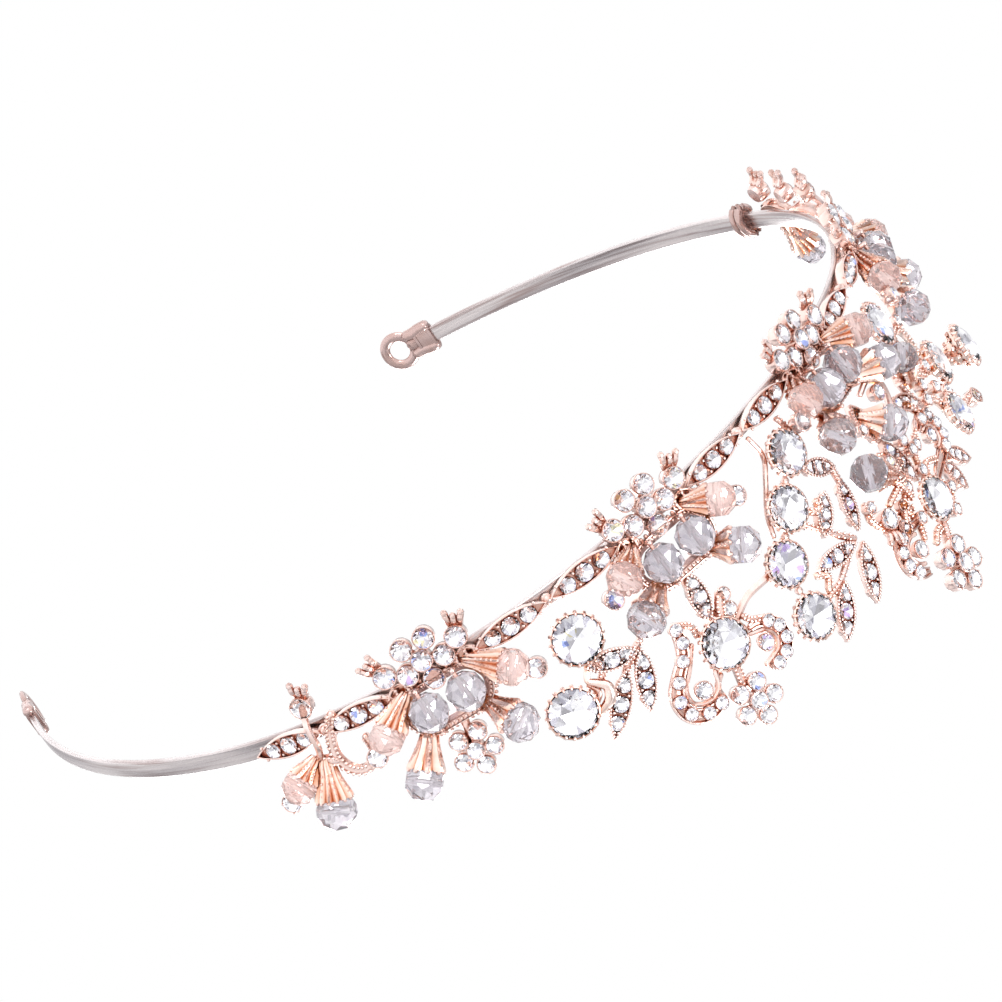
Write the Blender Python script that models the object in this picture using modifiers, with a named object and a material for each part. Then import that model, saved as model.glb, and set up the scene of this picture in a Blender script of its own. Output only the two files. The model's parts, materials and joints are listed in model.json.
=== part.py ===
"""Bridal tiara, modelled as its separate castings, beads, stones, headband strip and end loops.

Metres, +Z up.  The tiara stands as it is worn: the ornament faces -Y, the wearer's left is +X
and the two ends of the headband point back along +Y.  Everything on the headband is placed by
three numbers in millimetres: the distance along the band from the front centre (positive to the
wearer's left), the height above the rail of leaves, and the distance out from the band.
"""
from math import atan2, cos, hypot, pi, radians, sin

import bmesh
import bpy
from mathutils import Matrix, Vector

MM = 0.001

# Headband, seen from above: tangent arcs from the front centre, as (length, radius) in mm
BAND_ARCS = ((28.0, 83.0), (71.0, 65.0), (95.0, 124.0))
STRIP_END = 184.0
STRIP_HEIGHT = 3.0
STRIP_THICKNESS = 1.0
STRIP_OUT = -0.8
STRIP_STEPS = 96
CLIP_AT = 102.6
LOOP_AT = 188.4
LOOP_RADIUS = 3.2
LOOP_HOLE = 1.85

LEAN = radians(6.0)
GAP = 0.3

# Rail of pavé leaves, in pairs, with a flower and bead unit between one pair and the next
JUNCTIONS = {"front": 0.0, "left_1": 39.0, "left_2": 78.0, "right_1": -39.0, "right_2": -78.0}
LEAF_LENGTH = 13.0
LEAF_WIDTH = 3.7
LEAF_FRONT = 1.9
UNITS = {"left_1": 19.8, "left_2": 58.6, "right_1": -19.8, "right_2": -58.6}
UNIT_LIFT = {"left_1": 1.0, "left_2": 0.0, "right_1": 0.6, "right_2": 0.6}
OUTER_UNITS = ("left_2", "right_2")

# A unit's own places, as (along, up) from its centre on the rail
FLOWER_AT = (0.0, -2.9)
FLOWER_RING = 3.3
PETAL_RADIUS = 1.75
CLAW_AT = (6.2, -3.4)
CLAW_RADIUS = 1.8
TRAY_AT = {"left_1": 5.0, "left_2": 4.2, "right_1": 4.6, "right_2": 4.2}
BEAD_RADIUS = 3.0
BEAD_OFFSET = 3.2
BEAD_OUT = 3.4
BORE_RADIUS = 0.45
PIN_RADIUS = 0.33
TRAY_WALL = 0.8
TIP_FLOWER_AT = (0.7, 12.8)
TIP_FLOWER_RING = 2.8
TIP_PETAL_RADIUS = 1.5
# Side beads: the root of the cup on the tray's wall, the bead's centre, and the bead's radius
OUTER_SIDE_BEADS = {
    "pink_bead_inner": ((-5.7, 0.9, 1.6), (-11.0, 4.5, 3.5), 2.7),
    "pink_bead_outer": ((5.7, 0.9, 1.6), (10.6, 4.2, 3.5), 2.7),
    "crystal_bead_inner": ((-4.7, 7.9, 1.3), (-7.5, 12.3, 3.5), 2.9),
    "crystal_bead_outer": ((5.4, 7.3, 1.3), (9.6, 12.8, 3.5), 2.9),
}
INNER_SIDE_BEADS = {
    "pink_bead_inner": ((-5.7, 0.9, 1.6), (-9.3, 3.0, 3.9), 2.7),
    "pink_bead_outer": ((5.7, 0.9, 1.6), (9.7, 2.8, 3.9), 2.7),
    "crystal_bead_inner": ((-4.7, 8.3, 1.3), (-8.2, 10.7, 3.6), 2.9),
    "crystal_bead_outer": ((5.4, 7.7, 1.3), (10.6, 9.6, 3.6), 2.9),
}

# Ends of the ornament, as (along, up) from the outer leaf junctions
END_CLAW = (0.7, -4.7)
END_BEADS = {
    "end_pink_bead": ((4.4, 3.9, 1.6), (7.6, 6.0, 3.5), 2.7),
    "end_crystal_bead": ((2.6, 5.0, 1.6), (4.4, 11.6, 3.3), 3.0),
}

# Bead beside the right swirl's stem, as (along, up, out) from the frame at SWIRL_BEAD_FRAME
SWIRL_BEAD_FRAME = -16.0
SWIRL_BEAD = ((-2.4, 23.2, 1.4), (4.7, 18.5, 4.7), 2.9)

# Large claw-set stones: (along, up, radius)
STONES = {
    "stone_left_low": (38.9, 7.2, 3.75),
    "stone_left_high": (45.2, 15.9, 3.7),
    "stone_left_swirl": (22.3, 21.6, 3.75),
    "stone_front_1": (-4.0, 7.3, 3.4),
    "stone_front_2": (1.8, 13.3, 3.4),
    "stone_front_3": (7.5, 19.2, 3.4),
    "stone_front_4": (8.9, 28.0, 3.4),
    "stone_right_swirl": (-22.0, 31.0, 3.4),
    "stone_right_low": (-39.2, 8.0, 3.6),
    "stone_right_high": (-48.6, 21.6, 3.6),
    "stone_right_top": (-42.0, 28.2, 3.4),
}
RING_FRONT = 2.3
RING_BACK = 0.5
RING_WALL = 0.5

ROSE_GOLD = ((0.83, 0.47, 0.34), 0.28, 1.0, 1.0)
STEEL = ((0.72, 0.70, 0.70), 0.3, 1.0, 1.0)
CRYSTAL = ((0.86, 0.85, 0.88), 0.05, 0.0, 0.5)
PINK_CRYSTAL = ((0.93, 0.72, 0.66), 0.08, 0.0, 0.6)
RHINESTONE = ((0.95, 0.95, 0.97), 0.03, 0.0, 0.7)


# ---------------------------------------------------------------- places on the headband

def band_point(along):
    """Return x, y and heading at a distance along one half of the band, in mm and radians."""
    x = y = heading = start = 0.0
    for index, (length, radius) in enumerate(BAND_ARCS):
        last = index == len(BAND_ARCS) - 1
        run = along - start if last else min(along - start, length)
        turned = heading + run / radius
        x += radius * (sin(turned) - sin(heading))
        y += radius * (cos(heading) - cos(turned))
        heading = turned
        start += length
        if along <= start:
            break
    return x, y, heading


def seat(along, up=0.0, out=0.0, spin=0.0, lean=LEAN):
    """Frame on the band: local X runs along it, Y up the ornament and Z outwards."""
    side = -1.0 if along < 0.0 else 1.0
    x, y, heading = band_point(abs(along))
    normal = Vector((side * sin(heading), -cos(heading), 0.0))
    tangent = Vector((cos(heading), side * sin(heading), 0.0))
    rise = normal * sin(lean) + Vector((0.0, 0.0, cos(lean)))
    face = tangent.cross(rise)
    place = Vector((side * x, y, 0.0)) + rise * up + face * out
    frame = Matrix((tangent, rise, face)).transposed().to_4x4()
    return Matrix.Translation(place * MM) @ frame @ Matrix.Rotation(spin, 4, "Z")


# ---------------------------------------------------------------- scene and materials

def clear_scene():
    for item in list(bpy.data.objects):
        bpy.data.objects.remove(item, do_unlink=True)


def new_collection(name):
    collection = bpy.data.collections.new(name)
    bpy.context.scene.collection.children.link(collection)
    return collection


def make_material(name, look):
    colour, roughness, metallic, alpha = look
    material = bpy.data.materials.new(name)
    material.use_nodes = True
    shader = material.node_tree.nodes["Principled BSDF"]
    shader.inputs["Base Color"].default_value = (*colour, 1.0)
    shader.inputs["Roughness"].default_value = roughness
    shader.inputs["Metallic"].default_value = metallic
    shader.inputs["Alpha"].default_value = alpha
    return material


class Workshop:
    """Holds the collections, the materials and the empty that every piece hangs on."""

    def __init__(self):
        self.parts = new_collection("bridal_tiara")
        self.tools = new_collection("joined_shapes")
        self.origin = bpy.data.objects.new("tiara_origin", None)
        self.parts.objects.link(self.origin)
        self.rose_gold = make_material("rose_gold", ROSE_GOLD)
        self.steel = make_material("band_steel", STEEL)
        self.crystal = make_material("clear_crystal", CRYSTAL)
        self.pink = make_material("pink_crystal", PINK_CRYSTAL)
        self.rhinestone = make_material("rhinestone", RHINESTONE)

    def place(self, name, mesh, matrix, material):
        """Add one named piece and hang it on the tiara's origin."""
        mesh.materials.clear()
        mesh.materials.append(material)
        piece = bpy.data.objects.new(name, mesh)
        self.parts.objects.link(piece)
        piece.parent = self.origin
        piece.matrix_local = matrix
        return piece

    def casting(self, name, shapes, material):
        """Join overlapping shapes, given as (mesh, matrix) pairs, into one solid piece."""
        mesh, matrix = shapes[0]
        piece = self.place(name, mesh, matrix, material)
        group = bpy.data.collections.new(name + "_shapes")
        self.tools.children.link(group)
        for index, (mesh, matrix) in enumerate(shapes[1:]):
            shape = bpy.data.objects.new(f"{name}_shape_{index}", mesh)
            shape.parent = self.origin
            shape.matrix_local = matrix
            shape.hide_render = True
            shape.display_type = "WIRE"
            group.objects.link(shape)
        join = piece.modifiers.new("join", "BOOLEAN")
        join.operation = "UNION"
        join.solver = "MANIFOLD"
        join.operand_type = "COLLECTION"
        join.collection = group
        return piece


# ---------------------------------------------------------------- simple shapes, sizes in mm

def finished(form, name):
    mesh = bpy.data.meshes.new(name)
    form.to_mesh(mesh)
    form.free()
    return mesh


def cone_mesh(bottom, top, length, sides=8):
    """Cone or cylinder that stands on the local origin along +Z."""
    form = bmesh.new()
    bmesh.ops.create_cone(
        form, cap_ends=True, cap_tris=False, segments=sides,
        radius1=bottom * MM, radius2=top * MM, depth=length * MM)
    bmesh.ops.translate(form, verts=form.verts, vec=(0.0, 0.0, length * MM / 2.0))
    return finished(form, "cone")


def box_mesh(length, width, depth):
    """Box centred on the local X and Y axes that stands along +Z."""
    form = bmesh.new()
    bmesh.ops.create_cube(form, size=MM)
    bmesh.ops.scale(form, verts=form.verts, vec=(length, width, depth))
    bmesh.ops.translate(form, verts=form.verts, vec=(0.0, 0.0, depth * MM / 2.0))
    return finished(form, "box")


def curve_to_mesh(curve):
    """Turn a curve into one closed mesh with welded caps."""
    holder = bpy.data.objects.new("outline", curve)
    bpy.context.scene.collection.objects.link(holder)
    depsgraph = bpy.context.evaluated_depsgraph_get()
    mesh = bpy.data.meshes.new_from_object(holder.evaluated_get(depsgraph))
    bpy.data.objects.remove(holder, do_unlink=True)
    bpy.data.curves.remove(curve)
    form = bmesh.new()
    form.from_mesh(mesh)
    bmesh.ops.remove_doubles(form, verts=form.verts, dist=1e-6)
    bmesh.ops.recalc_face_normals(form, faces=form.faces)
    form.to_mesh(mesh)
    form.free()
    return mesh


def add_spline(curve, points, closed):
    spline = curve.splines.new("POLY")
    spline.points.add(len(points) - 1)
    for point, place in zip(spline.points, points):
        x, y, z = (*place, 0.0)[:3]
        point.co = (x * MM, y * MM, z * MM, 1.0)
    spline.use_cyclic_u = closed


def plate_mesh(outlines, thickness):
    """Flat plate from an outline and its holes, standing on the local XY plane."""
    curve = bpy.data.curves.new("outline", "CURVE")
    curve.dimensions = "2D"
    curve.fill_mode = "BOTH"
    curve.extrude = thickness * MM / 2.0
    for points in outlines:
        add_spline(curve, points, closed=True)
    mesh = curve_to_mesh(curve)
    mesh.transform(Matrix.Translation((0.0, 0.0, thickness * MM / 2.0)))
    return mesh


def wire_mesh(points, radius):
    """Round wire through points in mm, with filled ends."""
    curve = bpy.data.curves.new("wire", "CURVE")
    curve.dimensions = "3D"
    curve.bevel_depth = radius * MM
    curve.bevel_resolution = 1
    curve.use_fill_caps = True
    add_spline(curve, points, closed=False)
    return curve_to_mesh(curve)


def circle(radius, sides=12, centre=(0.0, 0.0)):
    step = 2.0 * pi / sides
    return [
        (centre[0] + radius * cos(i * step), centre[1] + radius * sin(i * step))
        for i in range(sides)
    ]


def stadium(radius, half, sides=6):
    """Outline of two half circles joined by straight runs, the long way along X."""
    right = [(half + radius * sin(pi * i / sides), -radius * cos(pi * i / sides))
             for i in range(sides + 1)]
    return right + [(-x, -y) for x, y in right]


def navette(length, width, steps=6):
    """Pointed oval made of two arcs, the long way along X."""
    sag, half = width / 2.0, length / 2.0
    radius = (half * half + sag * sag) / (2.0 * sag)
    sweep = atan2(half, radius - sag)
    angles = [sweep - 2.0 * sweep * i / steps for i in range(steps)]
    upper = [(radius * sin(a), radius * cos(a) - radius + sag) for a in angles]
    return upper + [(-x, -y) for x, y in upper]


def pointing(start, end):
    """Matrix that carries local +Z from one point in mm to another."""
    start, end = Vector(start), Vector(end)
    turn = (end - start).to_track_quat("Z", "Y").to_matrix().to_4x4()
    return Matrix.Translation(start * MM) @ turn


# ---------------------------------------------------------------- shapes used by the castings

def disc(frame, at, radius, back, front, sides=9):
    """Round setting at (along, up) in a frame, from one depth to another."""
    place = Matrix.Translation((at[0] * MM, at[1] * MM, back * MM))
    return cone_mesh(radius, radius, front - back, sides), frame @ place


def leaf(frame, start, end, width=3.2, back=0.6, front=1.9):
    """Pointed leaf between two places of a frame."""
    run = (end[0] - start[0], end[1] - start[1])
    middle = ((start[0] + end[0]) / 2.0 * MM, (start[1] + end[1]) / 2.0 * MM, back * MM)
    mesh = plate_mesh([navette(hypot(*run), width)], front - back)
    return mesh, frame @ Matrix.Translation(middle) @ Matrix.Rotation(atan2(run[1], run[0]), 4, "Z")


def stem(frame, points, radius=0.6, out=1.1):
    """Round wire that follows (along, up) points of a frame at one depth."""
    return wire_mesh([(x, y, out) for x, y in points], radius), frame


def arc(centre, radius, first, last, steps=8):
    """Points of an arc, its angles in degrees counted from the along direction."""
    angles = [radians(first + (last - first) * i / steps) for i in range(steps + 1)]
    return [(centre[0] + radius * cos(a), centre[1] + radius * sin(a)) for a in angles]


def cup(frame, root, bead, bead_radius):
    """Stem and cone that reach from the tray's wall to just short of a bead."""
    root, bead = Vector(root), Vector(bead)
    towards = (bead - root).normalized()
    end = bead - towards * (bead_radius + GAP)
    return cone_mesh(0.42, 1.7, (end - root).length, 8), frame @ pointing(root, end)


def flower(frame, at, ring, petal, front=2.2):
    """Five round petal settings about a raised centre one."""
    shapes = [disc(frame, at, petal * 0.95, 0.35, front + 0.6)]
    for index in range(5):
        angle = radians(90 + 72 * index)
        place = (at[0] + ring * cos(angle), at[1] + ring * sin(angle))
        shapes.append(disc(frame, place, petal, 0.2 + 0.02 * index, front))
    return shapes


def claw(frame, at, radius, outward):
    """Stone setting with three prongs that splay away from the rail."""
    shapes = [disc(frame, at, radius, 0.25, 2.5)]
    for turn in (-28, 0, 28):
        angle = outward + radians(turn)
        root = (at[0] + 1.2 * cos(angle), at[1] + 1.2 * sin(angle), 1.4)
        tip = (at[0] + 4.0 * cos(angle), at[1] + 4.0 * sin(angle), 2.2)
        length = (Vector(tip) - Vector(root)).length
        shapes.append((cone_mesh(0.42, 0.22, length, 4), frame @ pointing(root, tip)))
    return shapes


def stone_ring(name):
    """Open ring that holds a large stone."""
    along, up, radius = STONES[name]
    inner = radius + GAP
    outlines = [circle(inner + RING_WALL, 14), circle(inner, 14)]
    mesh = plate_mesh(outlines, RING_FRONT - RING_BACK)
    return mesh, seat(along, up, RING_BACK)


def flat_leaf(start, end, **sizes):
    """Leaf between two places on the ornament, laid tangent to the band at its middle."""
    middle = (start[0] + end[0]) / 2.0
    frame = seat(middle)
    return leaf(frame, (start[0] - middle, start[1]), (end[0] - middle, end[1]), **sizes)


def laid_stem(points, radius=0.6, out=1.14):
    """Round wire over places on the ornament, following the band's bend."""
    places = [seat(along, up, out).translation / MM for along, up in points]
    return wire_mesh(places, radius), Matrix.Identity(4)


# ---------------------------------------------------------------- headband and its ends

def band_ribbon(first, last, height, steps):
    """Upright open ribbon along the band, to be thickened."""
    form = bmesh.new()
    previous = None
    for index in range(steps + 1):
        along = first + (last - first) * index / steps
        middle = seat(along, 0.0, STRIP_OUT, lean=0.0)
        pair = [form.verts.new(middle @ Vector((0.0, y * MM, 0.0)))
                for y in (-height / 2.0, height / 2.0)]
        if previous:
            form.faces.new((previous[0], pair[0], pair[1], previous[1]))
        previous = pair
    return finished(form, "ribbon")


def make_headband(shop):
    """Flat spring strip that runs behind the whole ornament."""
    mesh = band_ribbon(-STRIP_END, STRIP_END, STRIP_HEIGHT, STRIP_STEPS)
    strip = shop.place("headband_strip", mesh, Matrix.Identity(4), shop.steel)
    shell = strip.modifiers.new("thickness", "SOLIDIFY")
    shell.thickness = STRIP_THICKNESS * MM
    shell.offset = 0.0


def sleeve(frame, length, wall=0.7):
    """Open box sleeve around the strip, its length along the band."""
    high = STRIP_HEIGHT / 2.0 + GAP
    deep = STRIP_THICKNESS / 2.0 + GAP
    outer = [(-deep - wall, -high - wall), (deep + wall, -high - wall),
             (deep + wall, high + wall), (-deep - wall, high + wall)]
    inner = [(-deep, -high), (deep, -high), (deep, high), (-deep, high)]
    turn = Matrix.Rotation(pi / 2.0, 4, "Y")
    mesh = plate_mesh([outer, inner], length)
    centre = Matrix.Translation((-length * MM / 2.0, 0.0, 0.0))
    return mesh, frame @ centre @ turn


def make_end_loop(shop, name, side):
    """Ring for a hairpin with a sleeve that is crimped over the strip's end."""
    frame = seat(side * LOOP_AT, 0.0, STRIP_OUT - 0.5, lean=0.0)
    ring = (plate_mesh([circle(LOOP_RADIUS, 20), circle(LOOP_HOLE, 14)], 1.0), frame)
    grip = seat(side * (STRIP_END - 1.4), 0.0, STRIP_OUT, lean=0.0)
    neck = seat(side * (STRIP_END + 1.3), 0.0, STRIP_OUT - 1.1, lean=0.0)
    shop.casting(name, [ring, sleeve(grip, 4.4), (box_mesh(1.8, 4.0, 2.2), neck)], shop.rose_gold)


def make_strip_clip(shop, name, side):
    """Crimped clip that ties one end of the ornament to the strip."""
    frame = seat(side * CLIP_AT, 0.0, STRIP_OUT, lean=0.0)
    mesh, matrix = sleeve(frame, 3.2, wall=0.8)
    shop.place(name, mesh, matrix, shop.rose_gold)


# ---------------------------------------------------------------- rail of leaves, units, ends

def make_leaf_pair(shop, name, junction):
    """Two pavé leaves that meet point to point on the rail."""
    shapes = []
    for side in (-1, 1):
        frame = seat(junction + side * LEAF_LENGTH / 2.0, 0.0, GAP)
        plate = plate_mesh([navette(LEAF_LENGTH, LEAF_WIDTH, 8)], LEAF_FRONT - GAP)
        shapes.append((plate, frame))
    shapes.append(disc(seat(junction), (0.0, 0.0), 0.95, GAP + 0.1, LEAF_FRONT - 0.3))
    shop.casting(name, shapes, shop.rose_gold)


def tray_shapes(frame, up):
    """Oval tray with a hole behind each bead, and a wire on two posts for each bead to turn on."""
    at = frame @ Matrix.Translation((0.0, up * MM, 0.0))
    outer = stadium(BEAD_RADIUS + GAP + TRAY_WALL, BEAD_OFFSET)
    inner = stadium(BEAD_RADIUS + GAP, BEAD_OFFSET)
    holes = [circle(2.4, 8, (side * BEAD_OFFSET, 0.0)) for side in (-1, 1)]
    floor = (plate_mesh([outer] + holes, 0.7), at @ Matrix.Translation((0.0, 0.0, GAP * MM)))
    wall = (plate_mesh([outer, inner], 1.5), at @ Matrix.Translation((0.0, 0.0, 0.6 * MM)))
    shapes = [wall, floor]
    reach = BEAD_RADIUS + GAP + TRAY_WALL / 2.0
    for x in (-BEAD_OFFSET, BEAD_OFFSET):
        shapes += [disc(at, (x, y), 0.5, 0.4, BEAD_OUT + 0.6, 6) for y in (-reach, reach)]
        ends = ((x, -reach, BEAD_OUT), (x, reach, BEAD_OUT))
        shapes.append((cone_mesh(PIN_RADIUS, PIN_RADIUS, 2.0 * reach, 8), at @ pointing(*ends)))
    return shapes


def unit_frame(name):
    """A unit's own frame, and the sign that keeps its inner side towards the front centre."""
    side = 1.0 if UNITS[name] > 0 else -1.0
    return seat(UNITS[name], UNIT_LIFT[name]), side


def side_beads(name):
    return OUTER_SIDE_BEADS if name in OUTER_UNITS else INNER_SIDE_BEADS


def mirrored(place, side):
    return (place[0] * side, *place[1:])


def make_unit(shop, name):
    """Flower, two claw settings, bead tray and four bead cups, cast as one piece.

    The outer units carry a second flower at their tip.
    """
    frame, side = unit_frame(name)
    shapes = tray_shapes(frame, TRAY_AT[name])
    shapes += flower(frame, FLOWER_AT, FLOWER_RING, PETAL_RADIUS)
    for hand in (-1, 1):
        place = (CLAW_AT[0] * hand, CLAW_AT[1])
        shapes += claw(frame, place, CLAW_RADIUS, radians(-90 + 25 * hand))
    for root, bead, radius in side_beads(name).values():
        shapes.append(cup(frame, mirrored(root, side), mirrored(bead, side), radius))
    if name in OUTER_UNITS:
        tip = mirrored(TIP_FLOWER_AT, side)
        shapes += flower(frame, tip, TIP_FLOWER_RING, TIP_PETAL_RADIUS)
        shapes.append(stem(frame, [(0.0, 8.0), tip], 0.7))
    shop.casting(f"bead_unit_{name}", shapes, shop.rose_gold)


def bead_mesh(radius, bore=0.0, sides=8):
    """Faceted bead about local Z: a turned profile, with a bore where it runs on a wire."""
    half = radius * 0.94
    profile = [(0.42 * radius, half), (0.86 * radius, 0.5 * half), (radius, 0.0),
               (0.86 * radius, -0.5 * half), (0.42 * radius, -half)]
    if bore:
        profile = [(bore, half)] + profile + [(bore, -half)]
    else:
        profile = [(0.0, half)] + profile + [(0.0, -half)]
    form = bmesh.new()
    verts = [form.verts.new((r * MM, 0.0, z * MM)) for r, z in profile]
    edges = [form.edges.new(pair) for pair in zip(verts, verts[1:])]
    if bore:
        edges.append(form.edges.new((verts[-1], verts[0])))
    bmesh.ops.spin(
        form, geom=verts + edges, cent=(0.0, 0.0, 0.0), axis=(0.0, 0.0, 1.0),
        angle=2.0 * pi, steps=sides, use_duplicate=False, use_merge=True)
    bmesh.ops.remove_doubles(form, verts=form.verts, dist=1e-6)
    bmesh.ops.recalc_face_normals(form, faces=form.faces)
    return finished(form, "bead")


def make_unit_beads(shop, name):
    """The pair that turns on the tray's wires, and the four beads in their cups."""
    frame, side = unit_frame(name)
    for label, hand in (("inner", -side), ("outer", side)):
        place = Matrix.Translation((hand * BEAD_OFFSET * MM, TRAY_AT[name] * MM, BEAD_OUT * MM))
        turn = Matrix.Rotation(pi / 2.0, 4, "X")
        mesh = bead_mesh(BEAD_RADIUS, BORE_RADIUS)
        shop.place(f"tray_bead_{label}_{name}", mesh, frame @ place @ turn, shop.crystal)
    for label, (root, bead, radius) in side_beads(name).items():
        material = shop.pink if label.startswith("pink") else shop.crystal
        place = cup_bead_place(frame, mirrored(root, side), mirrored(bead, side))
        shop.place(f"{label}_{name}", bead_mesh(radius), place, material)


def cup_bead_place(frame, root, bead):
    root, bead = Vector(root), Vector(bead)
    return frame @ pointing(bead, bead + (bead - root))


def make_end_group(shop, name, side):
    """Curled arm, one claw setting and two bead cups where the ornament ends."""
    frame = seat(side * abs(JUNCTIONS["left_2"]))
    boss = (side * 3.2, 4.2)
    shapes = [disc(frame, boss, 1.6, 0.4, 2.4)]
    shapes += claw(frame, mirrored(END_CLAW, side), CLAW_RADIUS, radians(-90 - 25 * side))
    bridge = [mirrored(END_CLAW, side), (side * 1.4, 0.0), boss]
    shapes.append((wire_mesh([(x, y, 2.75) for x, y in bridge], 0.5), frame))
    knuckle = disc(frame, boss, 0.9, 2.0, 3.1, 6)
    anchor = disc(frame, mirrored(END_CLAW, side), 0.9, 2.0, 3.1, 6)
    shapes += [knuckle, anchor]
    curl = arc((-2.4 * side, 4.3), 3.1, 0 if side > 0 else 180, 185 if side > 0 else -5)
    curl[0] = boss
    shapes.append((wire_mesh([(x, y, 1.3) for x, y in curl], 0.75), frame))
    for root, bead, radius in END_BEADS.values():
        shapes.append(cup(frame, mirrored(root, side), mirrored(bead, side), radius))
    shop.casting(f"end_group_{name}", shapes, shop.rose_gold)
    for label, (root, bead, radius) in END_BEADS.items():
        material = shop.pink if "pink" in label else shop.crystal
        place = cup_bead_place(frame, mirrored(root, side), mirrored(bead, side))
        shop.place(f"{label}_{name}", bead_mesh(radius), place, material)


# ---------------------------------------------------------------- sprays above the rail

def make_spray_left(shop):
    """Two stone rings and a three-leaf sprig over the left junction."""
    shapes = [
        stone_ring("stone_left_low"),
        stone_ring("stone_left_high"),
        flat_leaf((32.2, 14.6), (40.4, 11.2)),
        flat_leaf((33.6, 13.9), (42.8, 23.0), back=0.65, front=1.95),
        flat_leaf((32.4, 13.6), (36.6, 23.0), back=0.7, front=2.0),
        laid_stem([(39.4, 11.6), (38.4, 14.0), (40.9, 16.4)]),
    ]
    shop.casting("spray_left", shapes, shop.rose_gold)


def make_swirl_left(shop):
    """Stone ring with a leaf stem below, a scroll on each side and a flower on top."""
    top = seat(23.3)
    shapes = [
        stone_ring("stone_left_swirl"),
        flat_leaf((20.6, 10.6), (21.9, 18.2), width=3.4),
        laid_stem(arc((17.4, 25.9), 3.5, -84, -285), 0.9),
        laid_stem([(17.9, 21.6), (15.4, 20.6), (12.8, 18.9)], 0.5),
        laid_stem([(27.0, 15.0), (27.1, 17.0), (28.2, 19.2), (30.2, 20.9), (32.1, 23.2), (32.5, 25.9),
                   (31.2, 27.8), (29.1, 28.5), (26.8, 28.0)], 0.9),
        laid_stem([(24.75, 18.15), (27.0, 15.0)], 0.7),
        laid_stem([(26.8, 28.0), (25.0, 25.0)], 0.6),
        laid_stem([(22.6, 25.85), (23.3, 30.6)], 0.9),
    ]
    shapes += flower(top, (0.0, 31.4), 2.8, 1.5)
    shop.casting("swirl_left", shapes, shop.rose_gold)


def make_spray_front(shop):
    """Slanting chain of four stone rings with a six-leaf sprig beside it."""
    shapes = [stone_ring(f"stone_front_{number}") for number in (1, 2, 3, 4)]
    shapes += [
        laid_stem([(1.0, 17.0), (-1.6, 20.6), (-5.0, 24.6)], 0.7),
        flat_leaf((-6.0, 15.6), (-0.4, 20.9), back=0.5),
        flat_leaf((-4.9, 11.0), (-10.2, 14.7), width=3.0, front=1.8),
        flat_leaf((-9.6, 16.4), (-6.4, 24.4), width=2.6, back=0.5, front=1.5),
        laid_stem([(-9.7, 14.4), (-9.2, 17.4)], 0.5),
        flat_leaf((-5.4, 25.2), (4.2, 23.4), back=0.7, front=2.0),
        flat_leaf((-4.6, 24.4), (-0.6, 34.0), back=0.65, front=1.95),
        flat_leaf((0.9, 27.3), (7.3, 34.8)),
        laid_stem([(-4.0, 24.8), (1.4, 27.4), (4.7, 27.8)], 0.6),
        disc(seat(-1.1), (0.0, 10.3), 0.5, 0.7, 2.1, 6),
        disc(seat(4.65), (0.0, 16.25), 0.5, 0.7, 2.1, 6),
        disc(seat(8.2), (0.0, 23.6), 0.65, 0.7, 2.1, 6),
    ]
    shop.casting("spray_front", shapes, shop.rose_gold)


def make_swirl_right(shop):
    """Taller swirl on the right, on a two-leaf stem, with its flower at the tiara's peak."""
    top = seat(-17.9)
    bead_frame = seat(SWIRL_BEAD_FRAME)
    root, bead, bead_radius = SWIRL_BEAD
    shapes = [
        stone_ring("stone_right_swirl"),
        flat_leaf((-20.2, 10.8), (-20.9, 18.6), width=3.0, back=0.4, front=1.5),
        flat_leaf((-20.9, 18.2), (-22.0, 27.6), width=3.4, back=0.5, front=1.6),
        laid_stem([(-18.1, 30.7)] + arc((-13.1, 33.7), 3.8, -125, 75), 0.9),
        laid_stem([(-25.75, 29.8), (-28.6, 29.0)] + arc((-31.2, 25.2), 3.1, 100, 300), 0.8),
        flat_leaf((-31.4, 28.4), (-36.4, 33.4), width=2.8),
        flat_leaf((-29.6, 28.8), (-30.2, 35.4), width=2.8, back=0.65, front=1.95),
        laid_stem([(-21.4, 22.8), (-18.4, 23.2)], 0.7),
        cup(bead_frame, root, bead, bead_radius),
        laid_stem([(-21.0, 34.8), (-18.4, 39.8)], 0.9),
        disc(seat(-11.6), (0.0, 26.6), 1.7, 0.3, 2.4),
        laid_stem([(-16.6, 29.4), (-11.8, 26.8)], 0.6),
    ]
    shapes += flower(top, (0.0, 40.8), 3.1, 1.65)
    shop.casting("swirl_right", shapes, shop.rose_gold)
    place = cup_bead_place(bead_frame, root, bead)
    shop.place("crystal_bead_swirl_right", bead_mesh(bead_radius), place, shop.crystal)


def make_spray_right(shop):
    """Three stone rings, a sprig and a stone on a raised arm, over the right junction."""
    arm = [(-52.4, 23.1, 1.4), (-53.6, 23.6, 2.6), (-54.8, 24.1, 4.0)]
    arm_places = [seat(*place).translation / MM for place in arm]
    shapes = [
        stone_ring("stone_right_low"),
        stone_ring("stone_right_high"),
        stone_ring("stone_right_top"),
        flat_leaf((-33.4, 16.4), (-42.0, 12.2)),
        flat_leaf((-28.0, 16.2), (-35.6, 21.0), back=0.5, front=1.6),
        laid_stem([(-34.4, 15.9), (-34.6, 20.0)]),
        laid_stem([(-39.8, 12.2), (-41.4, 14.8), (-45.5, 18.8)]),
        laid_stem([(-45.63, 24.57), (-44.83, 25.37)], 0.6),
        (wire_mesh(arm_places, 0.7), Matrix.Identity(4)),
        disc(seat(-55.4), (0.0, 24.4), 3.2, 3.4, 6.4, 14),
    ]
    shop.casting("spray_right", shapes, shop.rose_gold)


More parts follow.
